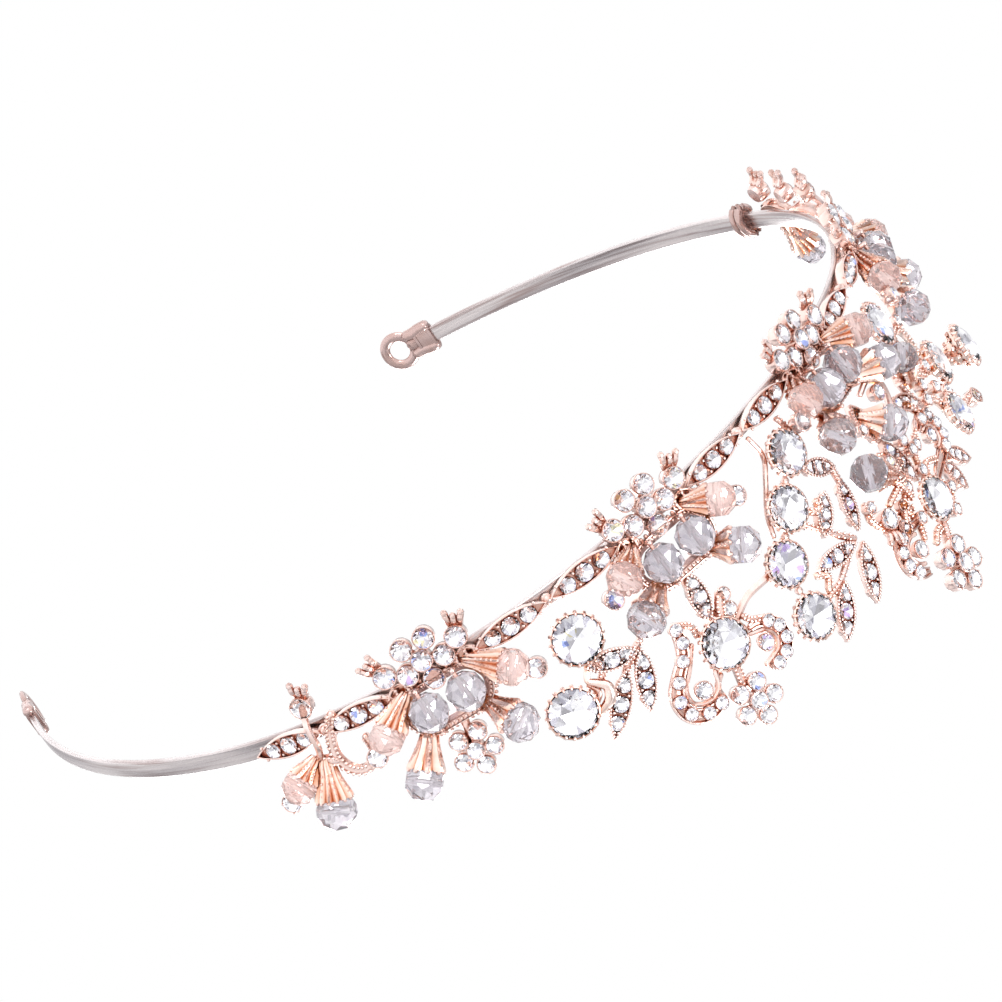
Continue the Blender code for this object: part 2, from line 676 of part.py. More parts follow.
def stone_mesh(radius, sides=12):
    """Round brilliant about local Z: table, crown, girdle and a blunt pavilion."""
    profile = [(0.0, 0.34), (0.56, 0.34), (1.0, 0.06), (1.0, 0.0), (0.18, -0.5), (0.0, -0.5)]
    form = bmesh.new()
    verts = [form.verts.new((r * radius * MM, 0.0, z * radius * MM)) for r, z in profile]
    edges = [form.edges.new(pair) for pair in zip(verts, verts[1:])]
    bmesh.ops.spin(
        form, geom=verts + edges, cent=(0.0, 0.0, 0.0), axis=(0.0, 0.0, 1.0),
        angle=2.0 * pi, steps=sides, use_duplicate=False, use_merge=True)
    bmesh.ops.remove_doubles(form, verts=form.verts, dist=1e-6)
    bmesh.ops.recalc_face_normals(form, faces=form.faces)
    return finished(form, "stone")


def make_stones(shop):
    for name, (along, up, radius) in STONES.items():
        mesh = stone_mesh(radius)
        shop.place(name, mesh, seat(along, up, RING_FRONT), shop.rhinestone)


# ---------------------------------------------------------------- whole tiara

def stand_on_origin(shop):
    """Move the whole tiara so that the middle of its underside is the origin."""
    depsgraph = bpy.context.evaluated_depsgraph_get()
    corners = []
    for piece in shop.parts.objects:
        if piece.type != "MESH":
            continue
        mesh = piece.evaluated_get(depsgraph).to_mesh()
        corners += [piece.matrix_world @ vert.co for vert in mesh.vertices]
    low = [min(corner[axis] for corner in corners) for axis in range(3)]
    high = [max(corner[axis] for corner in corners) for axis in range(3)]
    shop.origin.location = (-(low[0] + high[0]) / 2.0, -(low[1] + high[1]) / 2.0, -low[2])


def build():
    clear_scene()
    shop = Workshop()
    make_headband(shop)
    for name, side in (("left", 1), ("right", -1)):
        make_end_loop(shop, f"end_loop_{name}", side)
        make_end_group(shop, name, side)
    make_strip_clip(shop, "strip_clip_right", -1.0)
    for name, junction in JUNCTIONS.items():
        make_leaf_pair(shop, f"leaf_pair_{name}", junction)
    for name in UNITS:
        make_unit(shop, name)
        make_unit_beads(shop, name)
    make_spray_left(shop)
    make_swirl_left(shop)
    make_spray_front(shop)
    make_swirl_right(shop)
    make_spray_right(shop)
    make_stones(shop)
    bpy.context.view_layer.update()
    stand_on_origin(shop)
    bpy.context.view_layer.update()


build()
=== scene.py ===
"""Looks of the bridal tiara: detailed castings, cut stones, glass beads, light and camera.

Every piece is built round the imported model.  Places are given as in the part's own source: in
millimetres, the distance along the band from the front centre (positive to the wearer's left),
the height above the rail of leaves, and the distance out from the band.
"""
import json
from math import atan2, cos, hypot, pi, radians, sin

import bmesh
import bpy
from mathutils import Matrix, Vector

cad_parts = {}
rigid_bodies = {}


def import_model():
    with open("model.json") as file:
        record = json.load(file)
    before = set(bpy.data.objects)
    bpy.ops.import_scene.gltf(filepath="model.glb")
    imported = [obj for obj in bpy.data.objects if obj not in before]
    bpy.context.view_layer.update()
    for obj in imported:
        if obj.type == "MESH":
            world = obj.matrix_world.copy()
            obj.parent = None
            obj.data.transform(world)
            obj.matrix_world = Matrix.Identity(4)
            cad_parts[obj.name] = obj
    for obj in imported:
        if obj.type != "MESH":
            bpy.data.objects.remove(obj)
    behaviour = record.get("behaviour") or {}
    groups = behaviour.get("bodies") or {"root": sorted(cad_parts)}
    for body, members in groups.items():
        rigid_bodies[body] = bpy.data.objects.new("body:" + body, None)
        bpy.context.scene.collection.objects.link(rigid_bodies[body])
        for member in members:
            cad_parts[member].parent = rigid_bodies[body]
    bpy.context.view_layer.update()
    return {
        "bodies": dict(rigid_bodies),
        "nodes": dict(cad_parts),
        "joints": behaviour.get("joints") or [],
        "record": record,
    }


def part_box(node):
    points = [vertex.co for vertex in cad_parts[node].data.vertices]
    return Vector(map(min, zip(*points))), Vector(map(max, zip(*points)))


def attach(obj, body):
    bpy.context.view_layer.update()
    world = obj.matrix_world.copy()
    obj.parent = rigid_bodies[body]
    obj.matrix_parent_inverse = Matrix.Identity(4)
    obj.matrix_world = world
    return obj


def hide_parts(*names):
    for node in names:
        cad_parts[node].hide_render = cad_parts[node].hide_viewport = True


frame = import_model()

MM = 0.001
TURN = 2.0 * pi
GOLDEN = 2.39996

FRAME_BODY = "tiara_frame"

# Headband and places on it, as in the part
BAND_ARCS = ((28.0, 83.0), (71.0, 65.0), (95.0, 124.0))
LEAN = radians(6.0)
STRIP_OUT = -0.8
STRIP_THICKNESS = 1.0
STRIP_HEIGHT = 3.0
STRIP_END = 184.0
CLIP_AT = -102.6
LOOP_AT = 188.4
LOOP_RADIUS = 3.2
LOOP_HOLE = 1.85
JUNCTIONS = {"front": 0.0, "left_1": 39.0, "left_2": 78.0, "right_1": -39.0, "right_2": -78.0}
LEAF_LENGTH = 13.0
LEAF_WIDTH = 3.7
UNITS = {"left_1": 19.8, "left_2": 58.6, "right_1": -19.8, "right_2": -58.6}
UNIT_LIFT = {"left_1": 1.0, "left_2": 0.0, "right_1": 0.6, "right_2": 0.6}
FLOWER_AT = (0.0, -2.9)
FLOWER_RING = 3.3
PETAL_RADIUS = 1.75
CLAW_AT = (6.2, -3.4)
CLAW_RADIUS = 1.8
TRAY_AT = {"left_1": 5.0, "left_2": 4.2, "right_1": 4.6, "right_2": 4.2}
OUTER_UNITS = ("left_2", "right_2")
TIP_FLOWER_AT = (0.7, 12.8)
TIP_FLOWER_RING = 2.8
TIP_PETAL_RADIUS = 1.5
SWIRL_BEAD_FRAME = -16.0
SWIRL_BEAD = ((-2.4, 23.2, 1.4), (4.7, 18.5, 4.7), 2.9)
BEAD_RADIUS = 3.0
BEAD_OFFSET = 3.2
BEAD_OUT = 3.4
BORE_RADIUS = 0.45
PIN_RADIUS = 0.33
OUTER_SIDE_BEADS = {
    "pink_bead_inner": ((-5.7, 0.9, 1.6), (-11.0, 4.5, 3.5), 2.7),
    "pink_bead_outer": ((5.7, 0.9, 1.6), (10.6, 4.2, 3.5), 2.7),
    "crystal_bead_inner": ((-4.7, 7.9, 1.3), (-7.5, 12.3, 3.5), 2.9),
    "crystal_bead_outer": ((5.4, 7.3, 1.3), (9.6, 12.8, 3.5), 2.9),
}
INNER_SIDE_BEADS = {
    "pink_bead_inner": ((-5.7, 0.9, 1.6), (-9.3, 3.0, 3.9), 2.7),
    "pink_bead_outer": ((5.7, 0.9, 1.6), (9.7, 2.8, 3.9), 2.7),
    "crystal_bead_inner": ((-4.7, 8.3, 1.3), (-8.2, 10.7, 3.6), 2.9),
    "crystal_bead_outer": ((5.4, 7.7, 1.3), (10.6, 9.6, 3.6), 2.9),
}
END_CLAW = (0.7, -4.7)
END_BEADS = {
    "end_pink_bead": ((4.4, 3.9, 1.6), (7.6, 6.0, 3.5), 2.7),
    "end_crystal_bead": ((2.6, 5.0, 1.6), (4.4, 11.6, 3.3), 3.0),
}
STONES = {
    "stone_left_low": (38.9, 7.2, 3.75),
    "stone_left_high": (45.2, 15.9, 3.7),
    "stone_left_swirl": (22.3, 21.6, 3.75),
    "stone_front_1": (-4.0, 7.3, 3.4),
    "stone_front_2": (1.8, 13.3, 3.4),
    "stone_front_3": (7.5, 19.2, 3.4),
    "stone_front_4": (8.9, 28.0, 3.4),
    "stone_right_swirl": (-22.0, 31.0, 3.4),
    "stone_right_low": (-39.2, 8.0, 3.6),
    "stone_right_high": (-48.6, 21.6, 3.6),
    "stone_right_top": (-42.0, 28.2, 3.4),
}
GIRDLE_OUT = 2.6

# The part stands on its origin: the strip's own box says how far everything was shifted
strip_low, strip_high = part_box("headband_strip")
ORIGIN = Matrix.Translation((
    (strip_low.x + strip_high.x) / 2.0,
    strip_low.y + (STRIP_OUT + STRIP_THICKNESS / 2.0) * MM,
    (strip_low.z + strip_high.z) / 2.0))


# ---------------------------------------------------------------- places on the headband

def band_point(along):
    """Return x, y and heading at a distance along one half of the band, in mm and radians."""
    x = y = heading = start = 0.0
    for index, (length, radius) in enumerate(BAND_ARCS):
        last = index == len(BAND_ARCS) - 1
        run = along - start if last else min(along - start, length)
        turned = heading + run / radius
        x += radius * (sin(turned) - sin(heading))
        y += radius * (cos(heading) - cos(turned))
        heading = turned
        start += length
        if along <= start:
            break
    return x, y, heading


def seat(along, up=0.0, out=0.0, lean=LEAN):
    """Frame on the band: local X runs along it, Y up the ornament and Z outwards."""
    side = -1.0 if along < 0.0 else 1.0
    x, y, heading = band_point(abs(along))
    normal = Vector((side * sin(heading), -cos(heading), 0.0))
    tangent = Vector((cos(heading), side * sin(heading), 0.0))
    rise = normal * sin(lean) + Vector((0.0, 0.0, cos(lean)))
    face = tangent.cross(rise)
    place = Vector((side * x, y, 0.0)) + rise * up + face * out
    return Matrix.Translation(place * MM) @ Matrix((tangent, rise, face)).transposed().to_4x4()


def shifted(place, x=0.0, y=0.0, z=0.0, spin=0.0):
    """A frame moved in its own millimetres and turned about its own Z."""
    return place @ Matrix.Translation((x * MM, y * MM, z * MM)) @ Matrix.Rotation(spin, 4, "Z")


def pointing(start, end):
    """Matrix that carries local +Z from one point in mm to another."""
    start, end = Vector(start), Vector(end)
    turn = (end - start).to_track_quat("Z", "Y").to_matrix().to_4x4()
    return Matrix.Translation(start * MM) @ turn


# ---------------------------------------------------------------- materials

def node(tree, kind, inputs=None, **settings):
    made = tree.nodes.new(kind)
    for key, value in settings.items():
        setattr(made, key, value)
    for key, value in (inputs or {}).items():
        made.inputs[key].default_value = value
    return made


def ramp(tree, stops, interpolation="LINEAR"):
    made = tree.nodes.new("ShaderNodeValToRGB")
    made.color_ramp.interpolation = interpolation
    while len(made.color_ramp.elements) < len(stops):
        made.color_ramp.elements.new(0.5)
    for element, (position, colour) in zip(made.color_ramp.elements, stops):
        element.position = position
        element.color = (*colour, 1.0)
    return made


def new_material(name, **values):
    material = bpy.data.materials.new(name)
    material.use_nodes = True
    shader = material.node_tree.nodes["Principled BSDF"]
    for key, value in values.items():
        shader.inputs[key.replace("_", " ")].default_value = value
    return material, material.node_tree, shader


def noise(tree, scale, detail=3.0, stretch=None):
    """Noise in the object's own space; the scale counts waves in a metre."""
    place = node(tree, "ShaderNodeTexCoord")
    made = node(tree, "ShaderNodeTexNoise", {"Scale": scale, "Detail": detail})
    source = place.outputs["Object"]
    if stretch:
        mapping = node(tree, "ShaderNodeMapping", {"Scale": stretch})
        tree.links.new(source, mapping.inputs["Vector"])
        source = mapping.outputs["Vector"]
    tree.links.new(source, made.inputs["Vector"])
    return made


def rough_from(tree, shader, wave, low, high):
    spread = node(tree, "ShaderNodeMapRange", {"From Min": 0.3, "From Max": 0.7, "To Min": low, "To Max": high})
    tree.links.new(wave.outputs["Fac"], spread.inputs["Value"])
    tree.links.new(spread.outputs["Result"], shader.inputs["Roughness"])


def bump_from(tree, shader, wave, strength, depth):
    bump = node(tree, "ShaderNodeBump", {"Strength": strength, "Distance": depth})
    tree.links.new(wave.outputs["Fac"], bump.inputs["Height"])
    tree.links.new(bump.outputs["Normal"], shader.inputs["Normal"])


def plated_metal(name, recess_shade, body, open_face_light, rough=(0.10, 0.24), steps=(0.30, 0.72, 0.98)):
    """Cast and plated metal with painted shade and light: an occlusion ramp makes it dark and coloured in the recesses
    and pale on open faces.
    """
    material, tree, shader = new_material(name, Metallic=1.0)
    # Painted shade: ambient occlusion darkens the colour in recesses and pales it on open faces
    shade = node(tree, "ShaderNodeAmbientOcclusion", {"Distance": 1.3 * MM}, samples=6)
    tones = ramp(tree, tuple(zip(steps, (recess_shade, body, open_face_light))))
    tree.links.new(shade.outputs["AO"], tones.inputs["Fac"])
    cloud = noise(tree, 420.0, 2.0)
    tint = ramp(tree, ((0.35, (0.90, 0.84, 0.80)), (0.65, (1.0, 1.0, 1.0))))
    tree.links.new(cloud.outputs["Fac"], tint.inputs["Fac"])
    mix = node(tree, "ShaderNodeMix", {"Factor": 1.0}, data_type="RGBA", blend_type="MULTIPLY")
    tree.links.new(tones.outputs["Color"], mix.inputs["A"])
    tree.links.new(tint.outputs["Color"], mix.inputs["B"])
    tree.links.new(mix.outputs["Result"], shader.inputs["Base Color"])
    fine = noise(tree, 2600.0)
    rough_from(tree, shader, fine, *rough)
    bump_from(tree, shader, fine, 0.25, 0.06 * MM)
    return material


def strip_metal():
    """Polished spring strip: fine lines along its length and a soft pink cast."""
    material, tree, shader = new_material("strip_metal", Metallic=1.0)
    lines = noise(tree, 900.0, 4.0, stretch=(0.06, 0.06, 2.2))
    tones = ramp(tree, ((0.30, (0.38, 0.30, 0.29)), (0.50, (0.60, 0.56, 0.56)), (0.75, (0.74, 0.68, 0.67))))
    tree.links.new(lines.outputs["Fac"], tones.inputs["Fac"])
    tree.links.new(tones.outputs["Color"], shader.inputs["Base Color"])
    rough_from(tree, shader, lines, 0.18, 0.34)
    bump_from(tree, shader, lines, 0.12, 0.03 * MM)
    return material


def glass(name, thin, deep, rough, transmission=1.0, ior=1.52):
    """Cut glass with a faint cloud of colour and hair-fine polishing marks."""
    material, tree, shader = new_material(name, IOR=ior)
    shader.inputs["Transmission Weight"].default_value = transmission
    cloud = noise(tree, 260.0, 2.0)
    tones = ramp(tree, ((0.35, thin), (0.65, deep)))
    tree.links.new(cloud.outputs["Fac"], tones.inputs["Fac"])
    tree.links.new(tones.outputs["Color"], shader.inputs["Base Color"])
    marks = noise(tree, 3200.0, 4.0)
    rough_from(tree, shader, marks, 0.0, rough)
    bump_from(tree, shader, marks, 0.02, 0.02 * MM)
    return material


def foil(name, tone, painted_glints):
    """Silvered back of a stone at one level of painted light and shade; a few cells of the lightest one carry painted
    glints of colour.
    """
    material, tree, shader = new_material(name, Metallic=1.0)
    place = node(tree, "ShaderNodeTexCoord")
    cells = node(tree, "ShaderNodeTexVoronoi", {"Scale": 900.0, "Randomness": 1.0})
    tree.links.new(place.outputs["Object"], cells.inputs["Vector"])
    split = node(tree, "ShaderNodeSeparateColor")
    tree.links.new(cells.outputs["Color"], split.inputs["Color"])
    red, green, blue = tone
    stops = [(0.0, tone), (0.55, (0.93 * red, 0.93 * green, 0.94 * blue)), (0.85, (0.98 * red, 0.98 * green, blue))]
    # Painted glints: blue, violet and yellow cells stand in for the stone's fire
    if painted_glints:
        stops += [(0.945, (0.42, 0.52, 0.95)), (0.962, (0.68, 0.52, 0.90)), (0.972, (0.96, 0.90, 0.60)), (0.98, tone)]
    tones = ramp(tree, stops, "CONSTANT")
    tree.links.new(split.outputs["Red"], tones.inputs["Fac"])
    tree.links.new(tones.outputs["Color"], shader.inputs["Base Color"])
    marks = noise(tree, 2400.0, 3.0)
    rough_from(tree, shader, marks, 0.03, 0.10)
    return material


def bore_frost():
    """Ground, unpolished wall of a bead's bore."""
    material, tree, shader = new_material("bore_frost", IOR=1.5)
    shader.inputs["Transmission Weight"].default_value = 0.35
    cloud = noise(tree, 900.0, 3.0)
    tones = ramp(tree, ((0.3, (0.86, 0.84, 0.86)), (0.7, (0.98, 0.97, 0.97))))
    tree.links.new(cloud.outputs["Fac"], tones.inputs["Fac"])
    tree.links.new(tones.outputs["Color"], shader.inputs["Base Color"])
    rough_from(tree, shader, cloud, 0.35, 0.6)
    return material


# Each metal: painted shade colour for recesses, its own colour, painted light colour for open faces
ROSE = plated_metal("rose_gold_cast", (0.64, 0.39, 0.32), (0.72, 0.49, 0.43), (0.91, 0.74, 0.70))
COPPER = plated_metal("rose_gold_deep", (0.46, 0.14, 0.04), (0.74, 0.38, 0.24), (0.95, 0.79, 0.73),
                      steps=(0.38, 0.66, 0.92))
FITTING = plated_metal("rose_gold_fitting", (0.26, 0.15, 0.13), (0.40, 0.28, 0.26), (0.54, 0.41, 0.39), (0.14, 0.30))
STRIP = strip_metal()
CLEAR = glass("clear_bead_glass", (0.78, 0.75, 0.79), (0.54, 0.51, 0.56), 0.04, 0.88)
PINK = glass("pink_bead_glass", (0.96, 0.78, 0.74), (0.91, 0.67, 0.62), 0.06, 0.76)
CROWN = glass("stone_glass", (0.99, 0.99, 1.0), (0.95, 0.95, 0.98), 0.02, ior=1.28)
# Crown glass, then one foil in three copies: painted light, painted half shade and painted shade
GEM = (CROWN,
       foil("stone_foil_painted_light", (1.0, 1.0, 1.0), True),
       foil("stone_foil_painted_half_shade", (0.84, 0.84, 0.88), False),
       foil("stone_foil_painted_shade", (0.58, 0.57, 0.62), False))
BORE = bore_frost()


# ---------------------------------------------------------------- shapes, sizes in mm

def skin(rings):
    """Closed skin over rings of points; a ring of one point is a tip."""
    points, faces, starts = [], [], []
    for ring in rings:
        starts.append(len(points))
        points += ring
    for here, there, a, b in zip(rings, rings[1:], starts, starts[1:]):
        count = max(len(here), len(there))
        for i in range(count):
            j = (i + 1) % count
            if len(here) == 1:
                faces.append((a, b + j, b + i))
            elif len(there) == 1:
                faces.append((a + i, a + j, b))
            else:
                faces.append((a + i, a + j, b + j, b + i))
    for ring, start in ((rings[0], starts[0]), (rings[-1], starts[-1])):
        if len(ring) > 1:
            faces.append(tuple(range(start, start + len(ring))))
    return points, faces


def round_ring(radius, z, sides, phase=0.0):
    if radius < 1e-6:
        return [(0.0, 0.0, z)]
    step = TURN / sides
    return [(radius * cos((i + phase) * step), radius * sin((i + phase) * step), z) for i in range(sides)]


def turned(profile, sides=16):
    """Turned shape about local Z from (radius, height) pairs."""
    return skin([round_ring(radius, z, sides) for radius, z in profile])


def fluted(profile, flutes, depth, per_flute=4):
    """Turned shape whose radius waves round the axis; the flutes fade towards the stem."""
    sides = flutes * per_flute
    rings = []
    widest = max(radius for radius, z in profile)
    for radius, z in profile:
        wave = depth * min(1.0, radius / widest)
        ring = []
        for i in range(sides):
            angle = TURN * i / sides
            r = radius * (1.0 + wave * cos(flutes * angle))
            ring.append((r * cos(angle), r * sin(angle), z))
        rings.append(ring)
    return skin(rings)


def grain(radius):
    """Small bead of metal."""
    return turned([(0.0, -radius), (0.72 * radius, -0.68 * radius), (radius, 0.0),
                   (0.72 * radius, 0.68 * radius), (0.0, radius)], 7)


def navette_outline(length, width, steps):
    sag, half = width / 2.0, length / 2.0
    radius = (half * half + sag * sag) / (2.0 * sag)
    sweep = atan2(half, radius - sag)
    angles = [sweep - 2.0 * sweep * i / steps for i in range(steps)]
    upper = [(radius * sin(a), radius * cos(a) - radius + sag) for a in angles]
    return upper + [(-x, -y) for x, y in upper]


def stadium_outline(radius, half, steps=14, straight=4):
    """Two half circles joined by straight runs, the long way along X."""
    right = [(half + radius * sin(pi * i / steps), -radius * cos(pi * i / steps)) for i in range(steps + 1)]
    top = [(half - 2.0 * half * i / straight, radius) for i in range(1, straight)]
    upper = right + top
    return upper + [(-x, -y) for x, y in upper]


def stack(outline, levels):
    """Closed shape over (inset, height) levels of an outline that takes an inset."""
    return skin([[(x, y, z) for x, y in outline(inset)] for inset, z in levels])


# Foil of the two girdle facets and the main facet in each eighth of a stone's back: painted light and shade
# 1 is lit, 2 half shaded and 3 shaded
FACET_LIT_AND_SHADED = ((1, 3, 1), (1, 2, 1), (3, 1, 1), (1, 1, 2), (2, 3, 1), (1, 1, 1), (1, 3, 2), (1, 1, 1))


def brilliant(radius, crown, pavilion):
    """Round brilliant on its girdle: table, stars, kites and pavilion facets.

    Returns points, faces and each face's finish: 0 on the crown, 1 to 3 on the silvered back, from painted light to
    painted shade.
    """
    step = TURN / 8.0
    lip = 0.03 * radius

    def ring(share, z, sides, phase):
        return [(share * radius * cos((i + phase) * TURN / sides),
                 share * radius * sin((i + phase) * TURN / sides), z) for i in range(sides)]

    table = ring(0.54, crown, 8, 0.0)
    star = ring(0.79, 0.60 * crown, 8, 0.5)
    upper = ring(1.0, lip, 16, 0.0)
    lower = ring(1.0, -lip, 16, 0.0)
    back = ring(0.50, -0.62 * pavilion, 8, 0.5)
    points = table + star + upper + lower + back + [(0.0, 0.0, -pavilion)]
    t, s, u, w, b, tip = 0, 8, 16, 32, 48, 56
    crown_faces = [tuple(range(8))]
    back_faces = []
    tones = []
    for i in range(8):
        j, k = (i + 1) % 8, (i - 1) % 8
        crown_faces += [
            (t + i, s + i, t + j),
            (t + i, s + k, u + 2 * i, s + i),
            (s + i, u + 2 * i, u + 2 * i + 1),
            (s + i, u + 2 * i + 1, u + (2 * i + 2) % 16)]
        back_faces += [
            (w + 2 * i, b + i, w + 2 * i + 1),
            (w + 2 * i + 1, b + i, w + (2 * i + 2) % 16),
            (b + k, tip, b + i, w + 2 * i)]
        tones += FACET_LIT_AND_SHADED[i]
    for i in range(16):
        j = (i + 1) % 16
        back_faces.append((u + i, w + i, w + j, u + j))
    return points, crown_faces + back_faces, [0] * len(crown_faces) + tones + [1] * 16


def cut_bead(radius, sides=8):
    """Round faceted bead about local Z with a bore right through it."""
    half = 0.93 * radius
    levels = ((0.46, 1.0), (0.90, 0.56), (1.04, 0.0), (0.90, -0.56), (0.46, -1.0))
    rings = [round_ring(BORE_RADIUS, half * 0.97, sides)]
    for index, (share, height) in enumerate(levels):
        rings.append(round_ring(share * radius, height * half, sides, 0.5 * (index % 2)))
    rings.append(round_ring(BORE_RADIUS, -half * 0.97, sides, 0.5 * ((len(levels) - 1) % 2)))
    points, faces, starts = [], [], []
    for ring in rings:
        starts.append(len(points))
        points += ring
    last = len(rings) - 1
    for index in range(last):
        a, b = starts[index], starts[index + 1]
        shift = {0: 0, last - 1: 0}.get(index, 1 if index % 2 else 0)
        for i in range(sides):
            j = (i + 1) % sides
            if index in (0, last - 1):
                faces.append((a + i, a + j, b + j, b + i))
            elif index % 2:
                faces += [(a + i, a + j, b + i), (a + j, b + j, b + i)]
            else:
                faces += [(a + i, b + j, b + i), (a + i, a + j, b + j)]
    a, b = starts[last], starts[0]
    for i in range(sides):
        j = (i + 1) % sides
        faces.append((a + i, a + j, b + j, b + i))
    return points, faces, [0] * (len(faces) - sides) + [1] * sides


# ---------------------------------------------------------------- collecting shapes into pieces

class Mould:
    """Shapes in mm, each put in its place, that become one mesh."""

    def __init__(self):
        self.points, self.faces, self.finish = [], [], []

    def add(self, shape, place=Matrix.Identity(4), finish=0):
        base = len(self.points)
        where = ORIGIN @ place
        self.points += [where @ (Vector(p) * MM) for p in shape[0]]
        self.faces += [tuple(base + i for i in face) for face in shape[1]]
        self.finish += shape[2] if len(shape) > 2 else [finish] * len(shape[1])

    def grains(self, frame, places, radius):
        for x, y, z in places:
            self.add(grain(radius), shifted(frame, x, y, z))

    def relieve(self, place, radius):
        """Push the points inside a ball about a place out to its surface, so that a bead has room to turn."""
        centre = (ORIGIN @ place).translation
        for index, point in enumerate(self.points):
            run = point - centre
            if run.length < radius * MM:
                self.points[index] = centre + run.normalized() * radius * MM

    def wire(self, frame, points, radius, sides=8):
        """Round wire through (x, y, z) points of a frame, rounded at both ends."""
        self.add(strand([(frame @ (Vector(p) * MM), frame.col[2].xyz) for p in points],
                        [radius] * len(points), radius, sides))


def smooth(points, steps=5):
    """Curve through points of any size, by Catmull-Rom."""
    points = [Vector(p) for p in points]
    ends = [2 * points[0] - points[1], *points, 2 * points[-1] - points[-2]]
    line = []
    for p0, p1, p2, p3 in zip(ends, ends[1:], ends[2:], ends[3:]):
        for i in range(steps):
            t = i / steps
            line.append(0.5 * (2 * p1 + (p2 - p0) * t + (2 * p0 - 5 * p1 + 4 * p2 - p3) * t ** 2
                               + (3 * p1 - p0 - 3 * p2 + p3) * t ** 3))
    return line + [points[-1]]


def strand(line, widths, depth, sides=8):
    """Oval tube along (place in metres, outward direction) pairs, with rounded ends."""
    centres = [place / MM for place, face in line]
    rings = []
    last = len(line) - 1
    for index, (centre, (place, face), width) in enumerate(zip(centres, line, widths)):
        run = (centres[min(index + 1, last)] - centres[max(index - 1, 0)]).normalized()
        side = run.cross(face).normalized()
        thick = side.cross(run)
        ring = [(cos(TURN * i / sides) * side * width, sin(TURN * i / sides) * thick * depth)
                for i in range(sides)]
        if index == 0:
            rings.append([tuple(centre - run * 0.8 * width)])
            rings.append([tuple(centre - run * 0.5 * width + 0.75 * (a + b)) for a, b in ring])
        rings.append([tuple(centre + a + b) for a, b in ring])
        if index == last:
            rings.append([tuple(centre + run * 0.5 * width + 0.75 * (a + b)) for a, b in ring])
            rings.append([tuple(centre + run * 0.8 * width)])
    return skin(rings)


def make_piece(name, mould, materials, nodes=(), body=FRAME_BODY, flat=False):
    """Turn a mould into one object that rides on its body."""
    form = bmesh.new()
    mesh = bpy.data.meshes.new(name)
    mesh.from_pydata([tuple(p) for p in mould.points], [], mould.faces)
    mesh.polygons.foreach_set("material_index", mould.finish)
    form.from_mesh(mesh)
    bmesh.ops.recalc_face_normals(form, faces=form.faces)
    form.to_mesh(mesh)
    form.free()
    for material in materials:
        mesh.materials.append(material)
    piece = bpy.data.objects.new(name, mesh)
    bpy.context.scene.collection.objects.link(piece)
    if not flat:
        mesh.shade_smooth()
        mesh.set_sharp_from_angle(angle=radians(42.0))
    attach(piece, body)
    if nodes:
        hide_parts(*nodes)
    return piece


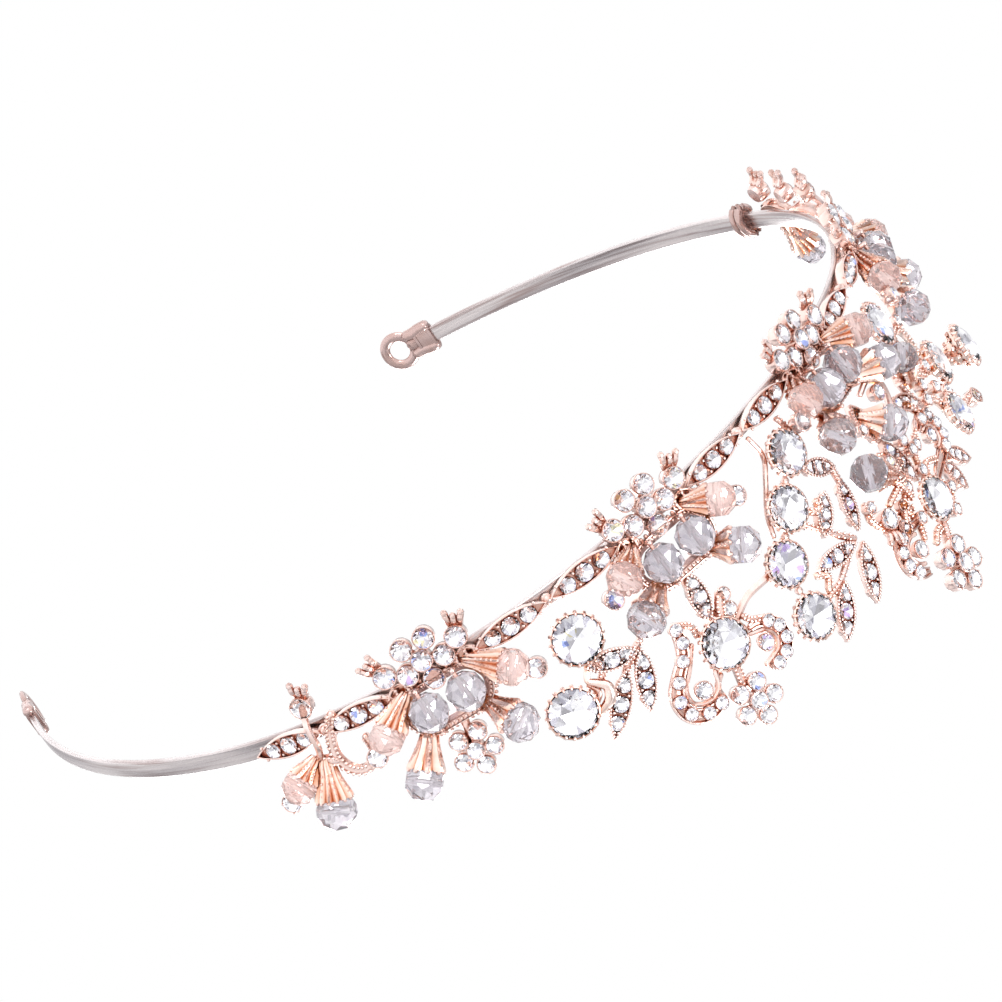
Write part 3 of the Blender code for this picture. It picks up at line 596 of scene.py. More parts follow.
class Casting:
    """One casting: its metal, and the small stones set in it."""

    def __init__(self, name):
        self.name = name
        self.metal = Mould()
        self.gems = Mould()
        self.count = 0

    def stone(self, frame, x, y, z, radius, crown=0.38, pavilion=0.44):
        """Small stone with its girdle at a height of a frame."""
        self.count += 1
        place = shifted(frame, x, y, z, self.count * GOLDEN)
        self.gems.add(brilliant(radius, crown * radius, pavilion * radius), place)

    def seat_ring(self, frame, x, y, radius, back, girdle):
        """Thin open ring that a small stone sits in."""
        levels = [(radius + 0.13, back), (radius + 0.15, girdle - 0.15), (radius + 0.02, girdle + 0.04),
                  (radius - 0.04, girdle - 0.1), (radius - 0.04, back)]
        sides = 16
        points, faces = skin([round_ring(r, z, sides) for r, z in levels])
        last = (len(levels) - 1) * sides
        bottom = [(i, last + i, last + (i + 1) % sides, (i + 1) % sides) for i in range(sides)]
        self.metal.add((points, faces[:-2] + bottom), shifted(frame, x, y))

    def collet(self, frame, x, y, radius, back=0.3, front=2.3, prongs=4, finish=0):
        """Round cup with a thin rim, a stone that fills it, and small prongs."""
        outer, inner = radius, radius - 0.2
        profile = [(0.0, back), (outer * 0.8, back), (outer * 0.94, back + 0.5), (outer, front - 0.35),
                   (outer, front - 0.1), (outer - 0.08, front), (inner, front - 0.05),
                   (inner - 0.05, front - 0.4), (inner * 0.4, front - 0.9), (0.0, front - 0.95)]
        self.metal.add(turned(profile, 20), shifted(frame, x, y), finish)
        self.stone(frame, x, y, front - 0.12, inner + 0.03)
        for i in range(prongs):
            angle = TURN * (i + 0.5) / prongs + self.count
            at = (x + (inner + 0.06) * cos(angle), y + (inner + 0.06) * sin(angle), front + 0.02)
            self.metal.grains(frame, [at], 0.2)

    def leaf(self, frame, start, end, width=3.2, stones=3, radius=None, back=0.5, front=2.0, plain=False):
        """Pointed leaf with a raised rim, a sunk floor, a row of stones and grains between them."""
        run = Vector((end[0] - start[0], end[1] - start[1]))
        length = run.length
        middle = ((start[0] + end[0]) / 2.0, (start[1] + end[1]) / 2.0)
        place = shifted(frame, *middle, 0.0, atan2(run.y, run.x))

        def outline(inset):
            return navette_outline(length - 3.4 * inset, width - 2.0 * inset, 14)

        levels = [(0.22, back), (0.04, back + 0.3), (0.0, front - 0.25), (0.06, front - 0.05), (0.16, front),
                  (0.28, front - 0.05), (0.36, front - 0.3), (0.42, front - 0.88)]
        self.metal.add(stack(outline, levels), place)
        if plain:
            return
        radius = radius or 0.39 * width
        pitch = min(2.12 * radius + 0.2, 0.82 * length / stones)
        for i in range(stones):
            x = (i - (stones - 1) / 2.0) * pitch
            fit = radius * (1.0 if stones == 1 else 1.0 - 0.10 * abs(i - (stones - 1) / 2.0))
            self.stone(place, x, 0.0, front - 0.2, fit)
            self.seat_ring(place, x, 0.0, fit, front - 1.15, front - 0.2)
        for i in range(stones + 1):
            x = (i - stones / 2.0) * pitch
            for y in (-0.27 * width, 0.27 * width):
                if abs(x) > 0.38 * length:
                    y *= 0.35
                self.metal.grains(place, [(x, y, front - 0.12)], 0.28)

    def edge_grains(self, frame, start, end, width, front, radius=0.2, pitch=0.5):
        """Row of grains round a leaf's rim."""
        run = Vector((end[0] - start[0], end[1] - start[1]))
        place = shifted(frame, (start[0] + end[0]) / 2.0, (start[1] + end[1]) / 2.0, 0.0, atan2(run.y, run.x))
        steps = max(6, int(run.length / pitch))
        outline = navette_outline(run.length - 0.5, width - 0.22, steps)
        self.metal.grains(place, [(x, y, front) for x, y in outline], radius)

    def laid_leaf(self, start, end, grained=True, **sizes):
        """Leaf between two places on the ornament, laid tangent to the band at its middle."""
        middle = (start[0] + end[0]) / 2.0
        frame = seat(middle)
        start = (start[0] - middle, start[1])
        end = (end[0] - middle, end[1])
        self.leaf(frame, start, end, **sizes)
        if grained:
            front = sizes.get("front", 2.0)
            self.edge_grains(frame, start, end, sizes.get("width", 3.2), front - 0.1, 0.26)

    def flower(self, frame, at, ring, petal, front=2.3):
        """Five round settings about a raised centre one."""
        self.collet(frame, at[0], at[1], petal * 0.98, 0.35, front + 0.7, 0)
        for index in range(5):
            angle = radians(90 + 72 * index)
            x, y = at[0] + ring * cos(angle), at[1] + ring * sin(angle)
            self.collet(frame, x, y, petal, 0.2, front, 3)
            link = [(at[0], at[1], 0.9), (x, y, 0.9)]
            self.metal.wire(frame, link, 0.5, 6)

    def claw(self, frame, x, y, radius, outward):
        """Setting whose three prongs run on past the stone, away from the rail."""
        self.collet(frame, x, y, radius, 0.25, 2.6, 2)
        ux, uy = cos(outward), sin(outward)
        self.metal.wire(frame, [(x + 1.9 * ux - 0.9 * uy, y + 1.9 * uy + 0.9 * ux, 1.6),
                                (x + 1.9 * ux + 0.9 * uy, y + 1.9 * uy - 0.9 * ux, 1.6)], 0.5)
        for hand in (-1, 0, 1):
            angle = outward + radians(14 * hand)
            reach = 3.8 if hand else 3.2
            dx, dy = cos(angle), sin(angle)
            base = (x + 1.7 * ux - 0.75 * hand * uy, y + 1.7 * uy + 0.75 * hand * ux)
            tip = (x + reach * dx - 0.3 * hand * uy, y + reach * dy + 0.3 * hand * ux)
            middle = ((base[0] + tip[0]) / 2.0, (base[1] + tip[1]) / 2.0, 2.25)
            self.metal.wire(frame, smooth([(*base, 1.4), middle, (*tip, 2.3)], 4), 0.52, 8)
            self.metal.grains(frame, [(*tip, 2.4)], 0.58)

    def cup(self, frame, root, bead, bead_radius, flutes=13, depth=0.15, finish=1):
        """Bell with flutes that holds a bead, with grains on its rim."""
        root, bead = Vector(root), Vector(bead)
        place = frame @ pointing(root, bead)
        length = (bead - root).length
        rim_at = length - 0.60 * bead_radius
        rim = 0.88 * bead_radius
        profile = [(0.9, -0.9), (1.3, 0.0), (1.45, 0.22 * rim_at), (1.75, 0.46 * rim_at),
                   (0.84 * rim, 0.70 * rim_at), (0.97 * rim, 0.90 * rim_at), (rim, rim_at),
                   (rim - 0.2, rim_at + 0.05), (0.72 * rim, 0.86 * rim_at), (0.3, 0.74 * rim_at)]
        self.metal.add(fluted(profile, flutes, depth), place, finish)
        step = TURN / flutes
        ring = [(rim * cos(i * step), rim * sin(i * step), rim_at + 0.12) for i in range(flutes)]
        self.metal.grains(place, ring, 0.30 if flutes > 9 else 0.42)
        foot = [(1.05 * cos(i * TURN / 7), 1.05 * sin(i * TURN / 7), 0.25) for i in range(7)]
        self.metal.grains(place, foot, 0.34)
        for share, radius in ((0.28, 1.5), (0.48, 1.85), (0.66, 0.83 * rim), (0.82, 0.94 * rim)):
            row = [(radius * cos(i * step), radius * sin(i * step), share * rim_at) for i in range(0, flutes, 2)]
            self.metal.grains(place, row, 0.26)

    def cord(self, frame, points, radius=0.36):
        """Row of grains that touch, on a thin wire."""
        self.metal.wire(frame, points, 0.7 * radius, 6)
        line = smooth(points, 8)
        travelled = 0.0
        for here, there in zip(line, line[1:]):
            travelled += (there - here).length
            if travelled > 1.5 * radius:
                travelled = 0.0
                self.metal.grains(frame, [tuple(there)], radius)

    def arm(self, points, depth=None, grained=True, width=0.6, steps=5, grain_radius=0.28, finish=0):
        """Stem along (along, up, out) places on the ornament, with grains on its outer face."""
        line = smooth([(*p[:3], p[3] if len(p) > 3 else width) for p in points], steps)
        places = [seat(p[0], p[1], p[2]) for p in line]
        widths = [p[3] for p in line]
        thick = depth or min(widths)
        self.metal.add(strand([(m.translation, m.col[2].xyz) for m in places], widths, thick), finish=finish)
        if grained:
            travelled = 0.0
            for here, there, wide in zip(places, places[1:], widths):
                run = there.translation - here.translation
                travelled += run.length / MM
                if travelled > 1.7 * grain_radius:
                    travelled = 0.0
                    side = run.cross(here.col[2].xyz).normalized()
                    for hand in (-1.0, 1.0):
                        offset = side * hand * 0.6 * wide * MM + here.col[2].xyz * 0.75 * thick * MM
                        self.metal.add(grain(grain_radius), Matrix.Translation(here.translation + offset))

    def scroll(self, path, stones, radius=1.0, out=1.2, width=1.15, inner=()):
        """Curled ribbon with raised edges and stones along it, and a smooth band inside its curl."""
        line = smooth([(*p[:2], out, p[2] if len(p) > 2 else width) for p in path], 6)
        places = [seat(p[0], p[1], p[2]) for p in line]
        widths = [p[3] for p in line]
        self.metal.add(strand([(m.translation, m.col[2].xyz) for m in places], widths, 0.5, 10))
        last = len(places) - 1
        for hand in (-1.0, 1.0):
            edge = []
            for index, (m, wide) in enumerate(zip(places, widths)):
                run = (places[min(index + 1, last)].translation - places[max(index - 1, 0)].translation)
                side = run.cross(m.col[2].xyz).normalized()
                edge.append((m.translation + (side * hand * wide * 0.86 + m.col[2].xyz * 0.5) * MM, m.col[2].xyz))
            self.metal.add(strand(edge, [0.22] * len(edge), 0.3, 6))
        if inner:
            line = smooth([(x, y, out + 0.3) for x, y in inner], 5)
            lane = [seat(*p) for p in line]
            self.metal.add(strand([(m.translation, m.col[2].xyz) for m in lane], [0.42] * len(lane), 0.62, 8))
        for along, up in stones:
            frame = seat(along)
            self.stone(frame, 0.0, up, out + 1.15, radius, 0.4, 0.7)
            self.seat_ring(frame, 0.0, up, radius, out + 0.2, out + 1.15)

    def raised_stone(self, place, radius):
        """Large stone of this casting's own, in a deep fluted crown cup at a place."""
        self.count += 1
        self.crown_cup(place, radius)
        bell = [(0.9, -2.2), (1.4, -1.6), (1.9, -0.4), (0.78 * radius, 0.9), (0.6 * radius, 0.8)]
        self.metal.add(fluted(bell, 12, 0.07), place, 1)
        for at, out in ((1.95, -0.4), (0.84 * radius, 0.9)):
            self.metal.grains(place, [(at * cos(TURN * i / 12), at * sin(TURN * i / 12), out) for i in range(12)], 0.4)
        self.gems.add(brilliant(radius, 0.26 * radius, 0.40 * radius), shifted(place, z=GIRDLE_OUT, spin=self.count))

    def setting(self, name):
        """Crown cup of one of the large stones."""
        along, up, radius = STONES[name]
        self.crown_cup(seat(along, up), radius)

    def crown_cup(self, place, radius):
        """Closed dish with a ring of teeth that lean over the girdle."""
        girdle = GIRDLE_OUT
        profile = [(0.0, 0.15), (0.42 * radius, 0.15), (0.55 * radius, 0.35), (0.84 * radius, 1.2),
                   (radius + 0.22, girdle - 0.75), (radius + 0.34, girdle - 0.15), (radius + 0.12, girdle - 0.05),
                   (radius * 0.98, girdle - 0.25), (0.80 * radius, girdle - 1.0), (0.0, girdle - 2.15)]
        self.metal.add(turned(profile, 32), place, 1)
        teeth = 18
        for i in range(teeth):
            angle = TURN * i / teeth
            dx, dy = cos(angle), sin(angle)
            low, high = radius + 0.26, radius - 0.22
            root = (low * dx, low * dy, girdle - 0.7)
            tip = (high * dx, high * dy, girdle + 0.42)
            tooth = turned([(0.0, -0.1), (0.36, 0.0), (0.33, 0.6), (0.16, 1.05), (0.0, 1.15)], 6)
            self.metal.add(tooth, place @ pointing(root, tip))

    def finish(self, *nodes):
        make_piece(f"{self.name}_metal", self.metal, (ROSE, COPPER), nodes)
        if self.gems.faces:
            make_piece(f"{self.name}_pave", self.gems, GEM, flat=True)


# ---------------------------------------------------------------- large stones and beads

def make_large_stones():
    for index, (name, (along, up, radius)) in enumerate(STONES.items()):
        mould = Mould()
        place = shifted(seat(along, up, GIRDLE_OUT), spin=index * GOLDEN)
        mould.add(brilliant(radius, 0.26 * radius, 0.40 * radius), place)
        make_piece(f"{name}_cut", mould, GEM, [name], flat=True)


def make_bead(name, place, radius, material, body=FRAME_BODY, own=False):
    """Bead with its bore; one that has a node in the part replaces it."""
    nodes = [] if own else [name]
    mould = Mould()
    mould.add(cut_bead(radius), place)
    make_piece(f"{name}_cut", mould, (material, BORE), nodes, body, flat=True)


def cross_place(frame, root, bead, swing=0.0):
    """Bead frame whose bore lies across the line from its cup, in the plane of the ornament."""
    root, bead = Vector(root), Vector(bead)
    run = (bead - root).normalized()
    across = run.cross(Vector((0.0, 0.0, 1.0))).normalized()
    turn = across.to_track_quat("Z", "Y").to_matrix().to_4x4()
    return frame @ Matrix.Translation(bead * MM) @ Matrix.Rotation(swing, 4, run) @ turn


def mirrored(place, side):
    return (place[0] * side, *place[1:])


# ---------------------------------------------------------------- rail of leaves

def make_leaf_pair(name, junction):
    casting = Casting(f"leaf_pair_{name}")
    for side in (-1, 1):
        frame = seat(junction + side * LEAF_LENGTH / 2.0)
        half = LEAF_LENGTH / 2.0
        casting.leaf(frame, (-half, 0.0), (half, 0.0), LEAF_WIDTH, 3, 1.38, 0.3, 2.0)
    hub = seat(junction)
    casting.metal.add(turned([(0.0, 0.4), (0.8, 0.4), (0.95, 0.9), (0.8, 1.6), (0.45, 1.9), (0.0, 2.0)], 12), hub)
    casting.finish(f"leaf_pair_{name}")


# ---------------------------------------------------------------- flower and bead units

def unit_frame(name):
    side = 1.0 if UNITS[name] > 0 else -1.0
    return seat(UNITS[name], UNIT_LIFT[name]), side


def make_tray(casting, frame, up):
    """Oval tray: thin outer rim, a row of square grains inside it and another row round its outside."""
    place = shifted(frame, 0.0, up)
    wall = BEAD_RADIUS + 1.15

    def outline(inset):
        return stadium_outline(wall - inset, BEAD_OFFSET)

    levels = [(0.25, 0.3), (0.05, 0.6), (0.0, 1.9), (0.10, 2.15), (0.22, 2.15), (0.30, 1.85), (0.86, 1.75),
              (0.92, 1.5), (0.92, 1.0), (1.6, 0.8), (1.6, 0.3)]
    rings = [[(x, y, z) for x, y in outline(inset)] for inset, z in levels]
    points, faces = skin(rings)
    count = len(rings[0])
    last = (len(rings) - 1) * count
    faces = faces[:-2] + [(i, last + i, last + (i + 1) % count, (i + 1) % count) for i in range(count)]
    casting.metal.add((points, faces), place)
    path = stadium_outline(wall - 0.58, BEAD_OFFSET, 17, 8)
    casting.metal.grains(place, [(x, y, 1.9) for x, y in path], 0.31)
    path = stadium_outline(wall + 0.12, BEAD_OFFSET, 15, 7)
    casting.metal.grains(place, [(x, y, 1.2) for x, y in path], 0.36)


def make_unit(name):
    frame, side = unit_frame(name)
    casting = Casting(f"bead_unit_{name}")
    up = TRAY_AT[name]
    make_tray(casting, frame, up)
    casting.flower(frame, FLOWER_AT, FLOWER_RING, PETAL_RADIUS)
    for hand in (-1, 1):
        casting.claw(frame, CLAW_AT[0] * hand, CLAW_AT[1], CLAW_RADIUS, radians(-90 + 25 * hand))
        web = ((3.4 * hand, 0.4), (7.6 * hand, -0.5))
        casting.leaf(frame, *web, width=2.6, back=0.35, front=1.9, plain=True)
    beads = OUTER_SIDE_BEADS if name in OUTER_UNITS else INNER_SIDE_BEADS
    for label, (root, bead, radius) in beads.items():
        root, bead = mirrored(root, side), mirrored(bead, side)
        pink = label.startswith("pink")
        if pink:
            casting.cup(frame, root, bead, radius)
            away = (Vector(bead) - Vector(root)).normalized()
            at = Vector(bead) + away * (radius + 1.0)
            casting.collet(frame, at.x, at.y, 1.65, 1.6, 3.6, 4)
        else:
            casting.cup(frame, root, bead, radius, 9, 0.18)
        material, slot = (PINK, "pink_crystal") if pink else (CLEAR, "clear_crystal")
        make_bead(f"{label}_{name}", cross_place(frame, root, bead), radius, material)
    reach = BEAD_RADIUS + 0.7
    for label, hand in (("inner", -side), ("outer", side)):
        x = hand * BEAD_OFFSET
        place = frame @ Matrix.Translation((x * MM, up * MM, BEAD_OUT * MM)) @ Matrix.Rotation(pi / 2.0, 4, "X")
        casting.metal.relieve(place, 1.04 * BEAD_RADIUS + 0.18)
        bead = f"tray_bead_{label}_{name}"
        make_bead(bead, place, BEAD_RADIUS, CLEAR, f"spinning_bead_{label}_{name}")
        low, high = up - reach, up + reach
        casting.metal.wire(frame, [(x, low, BEAD_OUT), (x, high, BEAD_OUT)], PIN_RADIUS)
        for y in (low, high):
            casting.metal.wire(frame, [(x, y, 1.0), (x, y, BEAD_OUT + 0.2)], 0.45)
    if name in OUTER_UNITS:
        tip = mirrored(TIP_FLOWER_AT, side)
        casting.flower(frame, tip, TIP_FLOWER_RING, TIP_PETAL_RADIUS)
        casting.metal.wire(frame, [(0.0, 8.0, 1.1), (*tip, 1.1)], 0.7)
    for hand in (-1, 1):
        casting.cord(frame, [(6.4 * hand, -1.9, 1.7), (6.0 * hand, -0.4, 1.9), (6.8 * hand, 1.2, 1.8)])
        casting.cord(frame, [(4.6 * hand, -1.2, 1.7), (4.2 * hand, 0.0, 1.9), (4.4 * hand, 0.9, 1.9)])
        casting.cord(frame, [(7.4 * hand, -0.6, 1.6), (7.9 * hand, 1.0, 1.7), (7.4 * hand, 2.8, 1.7)])
    casting.finish(f"bead_unit_{name}")


def make_end_group(name, side):
    frame = seat(side * abs(JUNCTIONS["left_2"]))
    casting = Casting(f"end_group_{name}")
    x, y = mirrored(END_CLAW, side)
    casting.claw(frame, x, y, CLAW_RADIUS, radians(-90 - 25 * side))
    casting.metal.wire(frame, smooth([(x, y, 1.6), (side * 1.4, -1.6, 2.6), (side * 1.6, 1.6, 2.6),
                                      (side * 3.0, 4.2, 1.6)], 5), 0.55)
    along = side * abs(JUNCTIONS["left_2"])
    curl = ((-2.6, -1.8, 0.8), (-1.4, -0.2, 0.8), (-0.1, 2.4, 0.9), (0.4, 4.8, 1.0), (-0.6, 7.0, 0.95),
            (-2.6, 8.0, 0.9), (-4.8, 7.2, 0.85), (-5.6, 5.0, 0.8), (-5.4, 3.4, 0.6))
    casting.arm([(along + side * x, y, 1.3, wide) for x, y, wide in curl], 0.75, steps=9, grain_radius=0.36)
    casting.arm([(along + side * 3.6, 4.0, 1.3, 1.0), (along + side * 1.6, 4.6, 1.5, 1.0),
                 (along + side * 0.3, 5.2, 1.3, 0.8)], 0.8)
    for label, (root, bead, radius) in END_BEADS.items():
        root, bead = mirrored(root, side), mirrored(bead, side)
        casting.cup(frame, root, bead, radius)
        pink = "pink" in label
        if pink:
            away = (Vector(bead) - Vector(root)).normalized()
            at = Vector(bead) + away * (radius + 1.0)
            casting.collet(frame, at.x, at.y, 1.65, 1.6, 3.6, 4)
        material, slot = (PINK, "pink_crystal") if pink else (CLEAR, "clear_crystal")
        make_bead(f"{label}_{name}", cross_place(frame, root, bead), radius, material)
    casting.finish(f"end_group_{name}")


# ---------------------------------------------------------------- sprays and swirls

def arc(centre, radius, first, last, steps=8):
    angles = [radians(first + (last - first) * i / steps) for i in range(steps + 1)]
    return [(centre[0] + radius * cos(a), centre[1] + radius * sin(a)) for a in angles]


def on_arc(centre, radius, angles):
    return [(centre[0] + radius * cos(radians(a)), centre[1] + radius * sin(radians(a))) for a in angles]


def make_spray_left():
    casting = Casting("spray_left")
    casting.setting("stone_left_low")
    casting.setting("stone_left_high")
    casting.laid_leaf((32.5, 14.1), (40.6, 11.6), back=0.6)
    casting.laid_leaf((35.2, 15.2), (43.0, 23.0), back=0.65)
    casting.laid_leaf((32.2, 14.0), (36.5, 22.8), back=0.7)
    casting.arm([(31.6, 13.2, 1.0), (33.6, 14.2, 1.0), (36.0, 15.8, 1.1)])
    casting.arm([(39.4, 10.8, 1.0), (38.4, 13.4, 1.1), (40.4, 15.2, 1.1), (41.6, 16.4, 1.0)])
    casting.arm([(39.6, 11.2, 1.4, 0.5), (41.0, 13.2, 1.6, 0.5), (40.2, 14.2, 2.0, 0.6), (39.2, 15.6, 2.2, 0.8),
                 (39.9, 17.4, 2.2, 0.9), (42.2, 18.3, 1.8, 0.5)], 0.5, False, finish=1)
    casting.arm([(41.3, 14.0, 1.4, 0.4), (40.6, 15.8, 1.6, 0.4), (41.8, 17.0, 1.6, 0.4)], 0.4, False)
    casting.finish("spray_left")


def make_swirl_left():
    casting = Casting("swirl_left")
    casting.setting("stone_left_swirl")
    casting.laid_leaf((20.4, 9.8), (21.9, 17.8), width=3.3)
    casting.arm([(21.4, 16.6, 1.0), (19.2, 18.6, 1.0), (18.8, 20.2, 1.0)])
    for at in ((18.0, 15.9), (18.5, 18.2)):
        casting.collet(seat(at[0]), 0.0, at[1], 1.2, 0.7, 2.1, 3)
    casting.arm([(18.9, 20.6, 1.1), (17.2, 19.7, 1.1), (14.6, 18.8, 1.1), (10.6, 18.8, 1.3)],
                width=0.62, grained=False)
    casting.arm([(17.6, 20.4, 1.6), (16.9, 21.6, 1.6), (15.6, 22.4, 1.5)], width=0.5)
    casting.arm([(18.4, 15.6, 1.4), (19.6, 17.0, 1.6), (20.2, 18.2, 1.6)], width=0.8)
    casting.arm([(24.6, 18.3, 1.1), (24.6, 16.4, 1.1), (26.6, 14.8, 1.1)], width=0.55)
    centre, radius = (17.4, 25.9), 3.4
    casting.scroll([(p[0], p[1], w) for p, w in zip(arc(centre, radius, -84, -285, 10),
                    (0.5, 0.7, 0.95, 1.15, 1.2, 1.2, 1.2, 1.2, 1.1, 0.9, 0.6))],
                   on_arc(centre, radius, (-135, -166, -202, -238, -270)),
                   inner=[(19.2, 22.9), *arc(centre, 2.15, -100, -260, 6), (19.0, 28.4)])
    casting.collet(seat(17.2), 0.0, 25.7, 1.4, 0.8, 2.3, 4)
    casting.scroll([(26.8, 14.8, 0.8), (27.1, 17.0, 1.0), (28.3, 19.3, 0.9), (30.2, 21.0, 1.0), (32.1, 23.2, 1.2),
                    (32.5, 25.9, 1.2), (31.2, 27.8, 1.2), (29.1, 28.5, 1.1), (26.8, 28.0, 0.7)],
                   [(26.9, 15.3), (27.2, 17.4), (28.7, 19.6), (30.9, 21.8), (32.3, 24.2), (32.0, 26.7),
                    (29.9, 28.2), (27.7, 28.2)], 0.98,
                   inner=[(25.6, 23.8), (26.6, 26.2), (28.8, 27.0), (30.8, 25.8), (30.6, 23.4), (28.6, 21.4), (26.2, 18.6)])
    casting.arm([(26.8, 28.0, 1.2), (26.6, 26.2, 1.2), (25.2, 25.0, 1.2)], width=0.5, grained=False)
    casting.collet(seat(28.7), 0.0, 25.0, 1.5, 0.8, 2.3, 4)
    casting.arm([(22.6, 25.4, 1.0), (23.3, 28.4, 1.0)], width=0.8)
    casting.flower(seat(23.3), (0.0, 31.4), 2.8, 1.5)
    casting.finish("swirl_left")


def make_spray_front():
    casting = Casting("spray_front")
    for number in (1, 2, 3, 4):
        casting.setting(f"stone_front_{number}")
    casting.laid_leaf((-5.6, 15.8), (-0.4, 20.9), back=0.5, width=3.0)
    casting.laid_leaf((-4.9, 11.0), (-10.2, 14.7), back=0.5, width=3.0, front=1.8)
    casting.laid_leaf((-9.6, 16.4), (-6.4, 24.4), back=0.5, width=2.7, front=1.5)
    casting.arm([(-9.7, 14.4, 1.1), (-9.2, 17.4, 1.1)], width=0.5)
    casting.arm([(-0.9, 1.8, 1.0), (-1.2, 5.4, 0.9), (1.0, 8.2, 0.9), (4.2, 11.8, 0.9), (5.8, 15.2, 0.9)],
                width=0.42, grained=False)
    casting.arm([(-7.2, 3.0, 1.0), (-7.9, 6.4, 1.0), (-7.4, 9.4, 1.0), (-5.2, 11.2, 1.0)], width=0.5)
    casting.arm([(-1.0, 16.2, 1.4), (-2.6, 17.2, 1.6), (-3.4, 16.0, 1.4)], width=0.6, finish=1)
    casting.arm([(4.4, 24.0, 1.4), (3.0, 25.2, 1.6), (4.2, 27.0, 1.4)], width=0.6, finish=1)
    casting.laid_leaf((-4.6, 25.0), (4.0, 23.4), back=0.7, width=3.0)
    casting.laid_leaf((-5.6, 25.6), (-0.8, 34.0), back=0.65)
    casting.laid_leaf((1.1, 27.6), (7.2, 34.6), back=0.65)
    casting.arm([(1.0, 17.0, 1.1), (-1.6, 20.6, 1.1), (-5.0, 24.6, 1.1)], width=0.6)
    casting.arm([(-4.0, 24.8, 1.1), (1.4, 27.4, 1.1), (4.7, 27.8, 1.1)], width=0.55)
    for at in ((-1.1, 10.3), (4.65, 16.25), (8.2, 23.6)):
        casting.metal.grains(seat(at[0]), [(0.0, at[1], 1.6)], 0.7)
    casting.finish("spray_front")


def make_swirl_right():
    casting = Casting("swirl_right")
    casting.setting("stone_right_swirl")
    casting.laid_leaf((-20.2, 10.6), (-20.9, 18.6), width=3.2, back=0.4, front=1.9)
    casting.laid_leaf((-20.9, 18.4), (-22.0, 27.2), width=3.3, back=0.5, front=1.9)
    centre, radius = (-13.1, 33.7), 3.7
    casting.scroll([(-18.1, 30.7, 0.5), *[(p[0], p[1], w) for p, w in zip(arc(centre, radius, -125, 75, 10),
                    (0.7, 0.9, 1.1, 1.2, 1.2, 1.2, 1.2, 1.15, 1.0, 0.85, 0.6))]],
                   on_arc(centre, radius, (-95, -62, -29, 4, 37)),
                   inner=arc(centre, 2.35, -120, 70, 7))
    casting.collet(seat(-13.1), 0.0, 33.8, 1.5, 0.8, 2.3, 4)
    centre, radius = (-31.2, 25.2), 3.1
    casting.scroll([(-25.8, 29.8, 0.5), (-28.6, 29.0, 0.8), *[(p[0], p[1], w) for p, w in zip(
                    arc(centre, radius, 100, 300, 8), (1.0, 1.1, 1.1, 1.1, 1.1, 1.0, 0.9, 0.7, 0.5))]],
                   on_arc(centre, radius, (112, 150, 188, 226, 262)), 0.95, inner=arc(centre, 1.9, 90, 290, 7))
    casting.collet(seat(-31.0), 0.0, 25.0, 1.3, 0.8, 2.3, 4)
    casting.collet(seat(-26.5), 0.0, 23.5, 1.1, 0.8, 2.3, 3)
    casting.arm([(-28.6, 22.8, 1.2), (-26.2, 23.6, 1.2), (-22.4, 22.4, 1.2)], width=0.55)
    casting.laid_leaf((-31.6, 28.8), (-36.2, 33.4), width=2.8)
    casting.laid_leaf((-29.6, 29.2), (-30.2, 35.2), width=2.8)
    swirl_frame = seat(SWIRL_BEAD_FRAME)
    root, bead, bead_radius = SWIRL_BEAD
    casting.cup(swirl_frame, root, bead, bead_radius)
    casting.arm([(-21.6, 22.8, 1.2), (-18.4, 23.2, 1.4)], width=0.7)
    if "crystal_bead_swirl_right" in frame["nodes"]:
        make_bead("crystal_bead_swirl_right", cross_place(swirl_frame, root, bead), bead_radius, CLEAR)
    casting.arm([(-21.0, 34.8, 1.0), (-18.9, 38.2, 1.0)], width=0.8)
    casting.claw(seat(-11.6), 0.0, 26.6, 1.75, radians(60))
    casting.arm([(-17.6, 29.0, 1.1), (-13.2, 27.2, 1.1)], width=0.55)
    casting.arm([(-18.2, 26.6, 1.4), (-15.4, 27.6, 2.0), (-13.0, 31.0, 1.6)], width=0.6, finish=1)
    casting.arm([(-19.4, 25.2, 1.6), (-16.6, 24.8, 2.2), (-13.6, 25.4, 1.8)], width=0.6, finish=1)
    casting.arm([(-18.0, 27.6, 2.0), (-17.4, 25.0, 2.4), (-16.8, 23.6, 2.2)], width=0.6, finish=1)
    casting.arm([(-16.9, 35.6, 1.4), (-18.3, 34.6, 1.4), (-19.6, 34.6, 1.4)], width=0.6, finish=1)
    for along, up in ((-18.6, 14.6), (-19.0, 21.2), (-24.8, 23.3), (-24.4, 21.0), (-23.7, 26.5), (-18.6, 26.0),
                      (-15.5, 27.2), (-17.0, 30.8), (-12.9, 29.2), (-10.1, 23.2), (-26.6, 32.2), (-24.2, 35.0)):
        casting.collet(seat(along), 0.0, up, 1.1, 0.9, 2.5, 3)
    for path in (((-24.8, 20.0), (-25.6, 23.4), (-23.9, 26.9)), ((-18.8, 19.4), (-17.6, 22.6), (-19.0, 25.6)),
                 ((-10.2, 22.4), (-9.2, 25.2), (-10.8, 28.4)), ((-15.8, 27.6), (-16.6, 30.8), (-15.6, 33.6)),
                 ((-25.6, 29.8), (-26.8, 32.6), (-24.0, 35.4)), ((-28.6, 27.8), (-26.0, 26.8), (-24.4, 28.8))):
        casting.arm([(*at, 1.3) for at in path], width=0.55, finish=1)
    casting.cup(seat(-21.0), (0.4, 13.4, 1.4), (-1.9, 17.0, 3.7), 2.8, 9, 0.18)
    make_bead("crystal_bead_stem", cross_place(seat(-21.0), (0.0, 14.0, 1.2), (-1.9, 17.0, 3.7)), 2.8, CLEAR,
              own=True)
    casting.flower(seat(-17.9), (0.0, 40.8), 3.1, 1.65)
    casting.finish("swirl_right")


